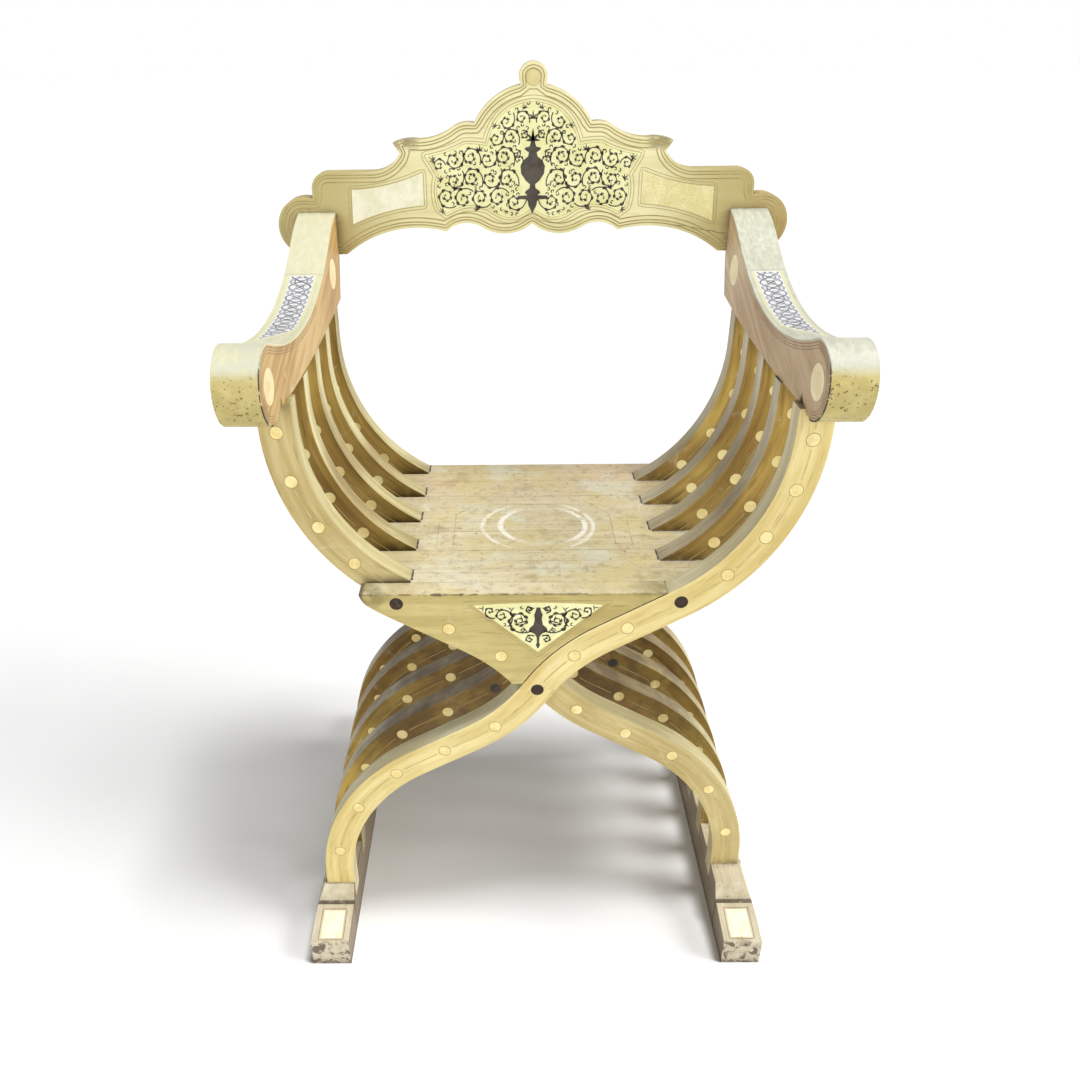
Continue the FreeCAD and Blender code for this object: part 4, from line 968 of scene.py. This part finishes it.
CREST_TENDRILS = (
    ((7, 801), (21, 799), 8, 1.5, 1), ((27, 808), (40, 803), 9, 1.5, -1),
    ((48, 797), (60, 804), 9, 1.6, 1), ((68, 810), (80, 802), 9, 1.5, -1),
    ((88, 795), (99, 805), 8.5, 1.6, 1), ((16, 815), (30, 823), 9, 1.6, -1),
    ((36, 834), (49, 823), 8.5, 1.5, 1), ((58, 815), (70, 824), 9.5, 1.7, -1),
    ((80, 832), (90, 822), 8, 1.5, 1), ((22, 836), (33, 846), 9.5, 1.7, -1),
    ((42, 853), (52, 843), 7.5, 1.5, 1), ((60, 838), (71, 846), 9, 1.6, -1),
    ((80, 853), (90, 843), 8.5, 1.6, 1), ((99, 838), (107, 838), 6, 1.4, -1),
    ((16, 858), (26, 866), 8, 1.5, -1), ((34, 872), (42, 864), 6.5, 1.4, 1),
    ((4, 880), (13, 885), 6.5, 1.5, -1), ((22, 890), (30, 881), 6.5, 1.4, 1),
    ((12, 872), (10, 868), 4.5, 1.3, 1), ((20, 853), (18, 848), 4.5, 1.3, 1))
CREST_PALMETTES = (
    ((64, 790), 1.2, 6), ((112, 843), 0.5, 7), ((60, 852), 1.6, 7), ((42, 876), 0.9, 6),
    ((9, 894), 1.2, 6), ((88, 812), 1.2, 7), ((30, 789), -1.2, 5), ((103, 790), -0.3, 6),
    ((104, 822), 0.6, 7))
CREST_VASE = (
    (786, 0.5), (790, 2), (794, 4.5), (799, 5.5), (801, 7), (801.5, 17), (805, 17), (805.5, 6), (808, 9),
    (810, 8), (813, 3.5), (817, 3), (821, 8), (828, 13), (836, 14), (842, 11), (846, 5.5), (850, 4.5),
    (853, 9), (855, 9), (856, 4), (860, 2.5), (870, 1.2))
APRON_TENDRILS = (
    ((6, 431), (19, 443), 11, 1.7, 1), ((30, 437), (38, 449), 7, 1.6, -1),
    ((45, 446), (50, 455), 4.5, 1.3, 1), ((4, 424), (9, 420), 4, 1.3, -1),
    ((8, 452), (9, 457), 3.5, 1.3, 1))
APRON_PALMETTES = (
    ((16, 441), 1.3, 9), ((57, 458), 0.1, 6), ((7, 456), 0.9, 7), ((27, 456), 0.6, 6),
    ((13, 432), -0.6, 7), ((28, 438), -0.5, 6))
APRON_STEM = (
    (409, 0.6), (413, 2.4), (416, 1.2), (423, 1.6), (427, 4), (430, 10), (434, 9), (438, 5), (445, 3.6),
    (450, 4.6), (454, 3), (459, 2))


def crest_scrolls():
    """Scrollwork of the crest's centre panel round a vase with two palmettes on a bracket."""
    both = scrolls(CREST_TENDRILS, CREST_PALMETTES, 5, 1.5, bulged(CENTRE_CORNERS), 17 * MM)
    both += turned_silhouette(CREST_VASE)
    both += palmette((0, 862), math.pi / 2, 13) + palmette((0, 884), math.pi / 2, 9)
    for hand in (-1, 1):
        both += tendril((hand * 11, 838), (hand * 17, 843), 4, 1.2, -hand, 1.2)
    return joined(both)


APRON_TOP = SEAT_TOP - 13.5 * MM
APRON_TIP = APRON_TOP - 57 * MM
APRON_HALF = 67 * MM


def apron_scrolls():
    """Scrollwork of the apron's triangle: a central stem with two round scrolls and smaller ones
    out to the corners."""
    triangle = np.array([[-APRON_HALF, APRON_TOP], [0, APRON_TIP], [APRON_HALF, APRON_TOP]])
    edge = np.concatenate([resampled(line, 2 * MM)[:-1] for line in
                           (triangle[:2], triangle[1:], triangle[[2, 0]])])
    both = scrolls(APRON_TENDRILS, APRON_PALMETTES, 3, 1.8, edge, 12 * MM)
    return joined(both + turned_silhouette(APRON_STEM))


def dress_crest():
    """Two mouldings all round the crest and a third below its finial, the frames of its panels, and
    a ring round the finial's disc."""
    neck, finial_disc = (CREST_BASE + share * CREST_TALL for share in (0.87, 0.922))
    first, second, third = profile_frame(CREST_CORNERS, (3.5, 6.5, 11.0))
    mouldings = [first, second, third[third[:, 1] < neck]]
    sides = profile_frame(SIDE_CORNERS, (-1.0, -4.0), False)
    frames = profile_frame(CENTRE_CORNERS, (-1.0, -4.5)) + sides + [side * [-1, 1] for side in sides]
    ring = circle((0, finial_disc), 8.1 * MM, 28)
    dress("crest", CREST_FRONT, "crest",
          ("mouldings", grooves(mouldings, 1.4), "frame_wood", "groove_shade"),
          ("panel_frames", grooves(frames, 0.7), "frame_wood", "groove_shade"),
          ("panel_line", grooves(profile_frame(CENTRE_CORNERS, (1.6,)), 0.5), "dark_wood", "string_dark"),
          ("scrollwork", crest_scrolls(), "dark_wood", "dark_inlay"),
          ("finial_ring", grooves([ring], 0.6), "frame_wood", "groove_shade"))


def dress_apron():
    """Incised lines below the triangle's two sloping sides and one above it, its scrollwork, and the
    rims of the two discs."""
    lines = []
    for gap in (2.2 * MM, 4.6 * MM):
        corner = np.array([APRON_HALF + gap * 2.2, APRON_TOP + gap * 0.9])
        lines.append(np.array([corner * [-1, 1], [0, APRON_TIP - gap * 1.55], corner]))
    end = np.array([APRON_HALF + 9 * MM, APRON_TOP + 5.2 * MM])
    lines.append(np.array([end * [-1, 1], end]))
    centres = [at_share(ARM_STAVE[part], ARM_DISCS[part][0]) * [-1, 1] for part in ("line", "waist")]
    incised = grooves([resampled(line, 4 * MM) for line in lines], 0.8)
    dress("apron", FRONT, "seat_left",
          ("incised_lines", incised, "frame_wood", "groove_shade"),
          ("scrollwork", apron_scrolls(), "dark_wood", "dark_inlay"),
          ("disc_rims", grooves(disc_rims(centres), 0.6), "dark_wood", "ring_dark"))


def dress_seat():
    """Dark joints where the staves pass the seat: across the end of the slat in line with a stave,
    and along the foot of its front face on the slat before it. Their width wavers as two sines."""
    stave_half, stave_outside = 17 * MM, 0.172
    edge = ARM_STAVE["line"][0] + stave_half * np.array([-math.sin(WAIST_ANGLE), math.cos(WAIST_ANGLE)])
    end_x = edge[0] + (SEAT_TOP - PIVOT_HEIGHT - edge[1]) / math.tan(WAIST_ANGLE)
    joint_x = end_x - 1.7 * MM
    for side, rank in STAVES[1:]:
        front = stave_front(side, rank)
        joint = np.array([[joint_x, front + 0.4 * MM], [joint_x, front + 24.4 * MM]])
        shapes = [("seat_left" if side == "right" else "seat_right", "end", joint)]
        if side == "right":
            foot = np.array([[end_x, front - 1.8 * MM], [stave_outside, front - 1.8 * MM]])
            shapes.append(("seat_right", "foot", foot))
        for owner, label, line in shapes:
            path = resampled(line * [HAND[side], 1], 2 * MM)
            step = np.arange(len(path))
            widths = MM * (2.0 + 0.8 * np.sin(step * 1.7 + rank) * np.sin(step * 0.6 + 2 * rank))
            points, faces = strip(path, widths, 0.08 * MM)
            new_piece(f"seat_joint_{side}_{rank + 1}_{label}", (points + [0, 0, SEAT_TOP], faces), owner,
                      "dark_inlay")


def dress_arms():
    """The interlace on top, and mouldings that follow the top's line on the inner face."""
    moulded_length = 0.33
    line = ARM_TOP[ARM_TOP_LENGTH < moulded_length]
    lines = [resampled(line - beside(line) * gap * MM, 3 * MM) for gap in (3.4, 6.0, 8.6)]
    for side, body in STAVE_BODY.items():
        new_piece(f"arm_{side}_interlace", on_arm_top(interlace(), side), body, "grey_inlay")
        new_piece(f"arm_{side}_mouldings", on_arm_inside(grooves(lines, 0.8), side), body,
                  "arm_groove")


def dress_feet():
    """A fine line round the tile of each front toe, laid out on the sloping pad: across the foot and
    up the slope."""
    slope = math.atan2(8, 55)
    foot_middle, toe_front, toe_height = 0.247, FRONT - 0.072, 0.035
    wide, low, high = 15 * MM, 5.5 * MM, 48.5 * MM
    corners = np.array([[-wide, low], [wide, low], [wide, high], [-wide, high], [-wide, low]])
    flat, faces = grooves([resampled(corners, 3 * MM)], 0.9)
    across, up, out = flat.T
    depth = toe_front + up * math.cos(slope) - out * math.sin(slope)
    height = toe_height + up * math.sin(slope) + out * math.cos(slope)
    for side, hand, body in (("left", -1, "root"), ("right", 1, "left_frame")):
        points = np.stack([hand * foot_middle + across, depth, height], axis=1)
        new_piece(f"foot_{side}_tile_line", (points, faces), body, "arm_groove")


dress_staves()
dress_crest()
dress_apron()
dress_seat()
dress_arms()
dress_feet()


# Floor, light and camera

def make_stage(glow):
    """A pale floor that keeps the chair's shadow and is white where the shadow ends."""
    size = 30.0
    mesh = bpy.data.meshes.new("floor")
    mesh.from_pydata([[-size, -size, 0], [size, -size, 0], [size, size, 0], [-size, size, 0]], [],
                     [[0, 1, 2, 3]])
    shader, tree, _ = start_material("floor_white")
    feed(shader, Base_Color=(0.9, 0.9, 0.9, 1), Roughness=0.9, Specular_IOR_Level=0.0)
    seen = node(tree, "LightPath").outputs
    looked_at = Field(seen["Is Camera Ray"]).maths("MAXIMUM", Field(seen["Is Glossy Ray"]))
    shine = node(tree, "Emission", Color=(1, 1, 1, 1), Strength=looked_at * glow)
    both = node(tree, "AddShader", i0=Field(shader.outputs[0]), i1=Field(shine.outputs[0]))
    feed(tree.nodes["Material Output"], Surface=Field(both.outputs[0]))
    mesh.materials.append(FINISH["floor_white"])
    in_scene("floor", mesh)


def make_world(light):
    """Plain white for what looks at it, and a softer white for light."""
    world = bpy.data.worlds.new("studio")
    bpy.context.scene.world = world
    world.use_nodes = True
    seen = node(world.node_tree, "LightPath").outputs
    camera, glossy, passed = (Field(seen[f"Is {way} Ray"]) for way in ("Camera", "Glossy", "Transmission"))
    looked_at = camera.maths("MAXIMUM", glossy.maths("MAXIMUM", passed))
    feed(world.node_tree.nodes["Background"], Color=(1, 1, 1, 1), Strength=looked_at * (1.0 - light) + light)


def soft_sun(name, source, strength, spread, tint):
    """Even light from one direction, its shadows softened by the spread."""
    data = bpy.data.lights.new(name, "SUN")
    data.energy = strength
    data.angle = math.radians(spread)
    data.color = tint
    back = np.array(source, float) / np.linalg.norm(source)
    right = np.cross([0, 0, 1], back)
    right /= np.linalg.norm(right)
    pose = np.eye(4)
    pose[:3, 0], pose[:3, 1], pose[:3, 2] = right, np.cross(back, right), back
    in_scene(name, data).matrix_world = Matrix(pose.tolist())


def make_camera():
    """Camera solved from the photograph, 1080 pixels square: its focal length and principal point in
    pixels, its place, and the pitch, yaw and roll that turn it, in that order from the inside."""
    frame_size, focal, (across, down) = 1080, 961.03, (496.58, 620)
    data = bpy.data.cameras.new("camera")
    data.sensor_width = 36.0
    data.lens = data.sensor_width * focal / frame_size
    data.shift_x = (frame_size / 2 - across) / frame_size
    data.shift_y = (down - frame_size / 2) / frame_size
    pitch, yaw, roll = (math.radians(value) for value in (-31.3015, 0.6537, 0.6960))
    turn = Matrix.Rotation(yaw, 4, "Z") @ Matrix.Rotation(pitch, 4, "X") @ Matrix.Rotation(roll, 4, "Y")
    look = turn @ Matrix.Rotation(math.pi / 2, 4, "X")
    look.translation = (-0.033605, -1.026887, 0.963061)
    camera = in_scene("camera", data)
    camera.matrix_world = look
    bpy.context.scene.camera = camera


make_stage(glow=0.01)
make_world(light=0.02)
soft_sun("high", (0.234, -0.045, 0.970), 2.2, 17, (1.0, 1.0, 1.0))
soft_sun("middle", (0.740, -0.198, 0.643), 1.05, 22, (1.0, 1.0, 0.995))
soft_sun("low", (0.896, -0.240, 0.375), 1.65, 44, (1.0, 1.0, 0.99))
soft_sun("fill", (-0.60, -1.35, 0.05), 2.4, 50, (0.985, 0.99, 1.0))
make_camera()

bpy.context.scene.view_settings.view_transform = "Standard"
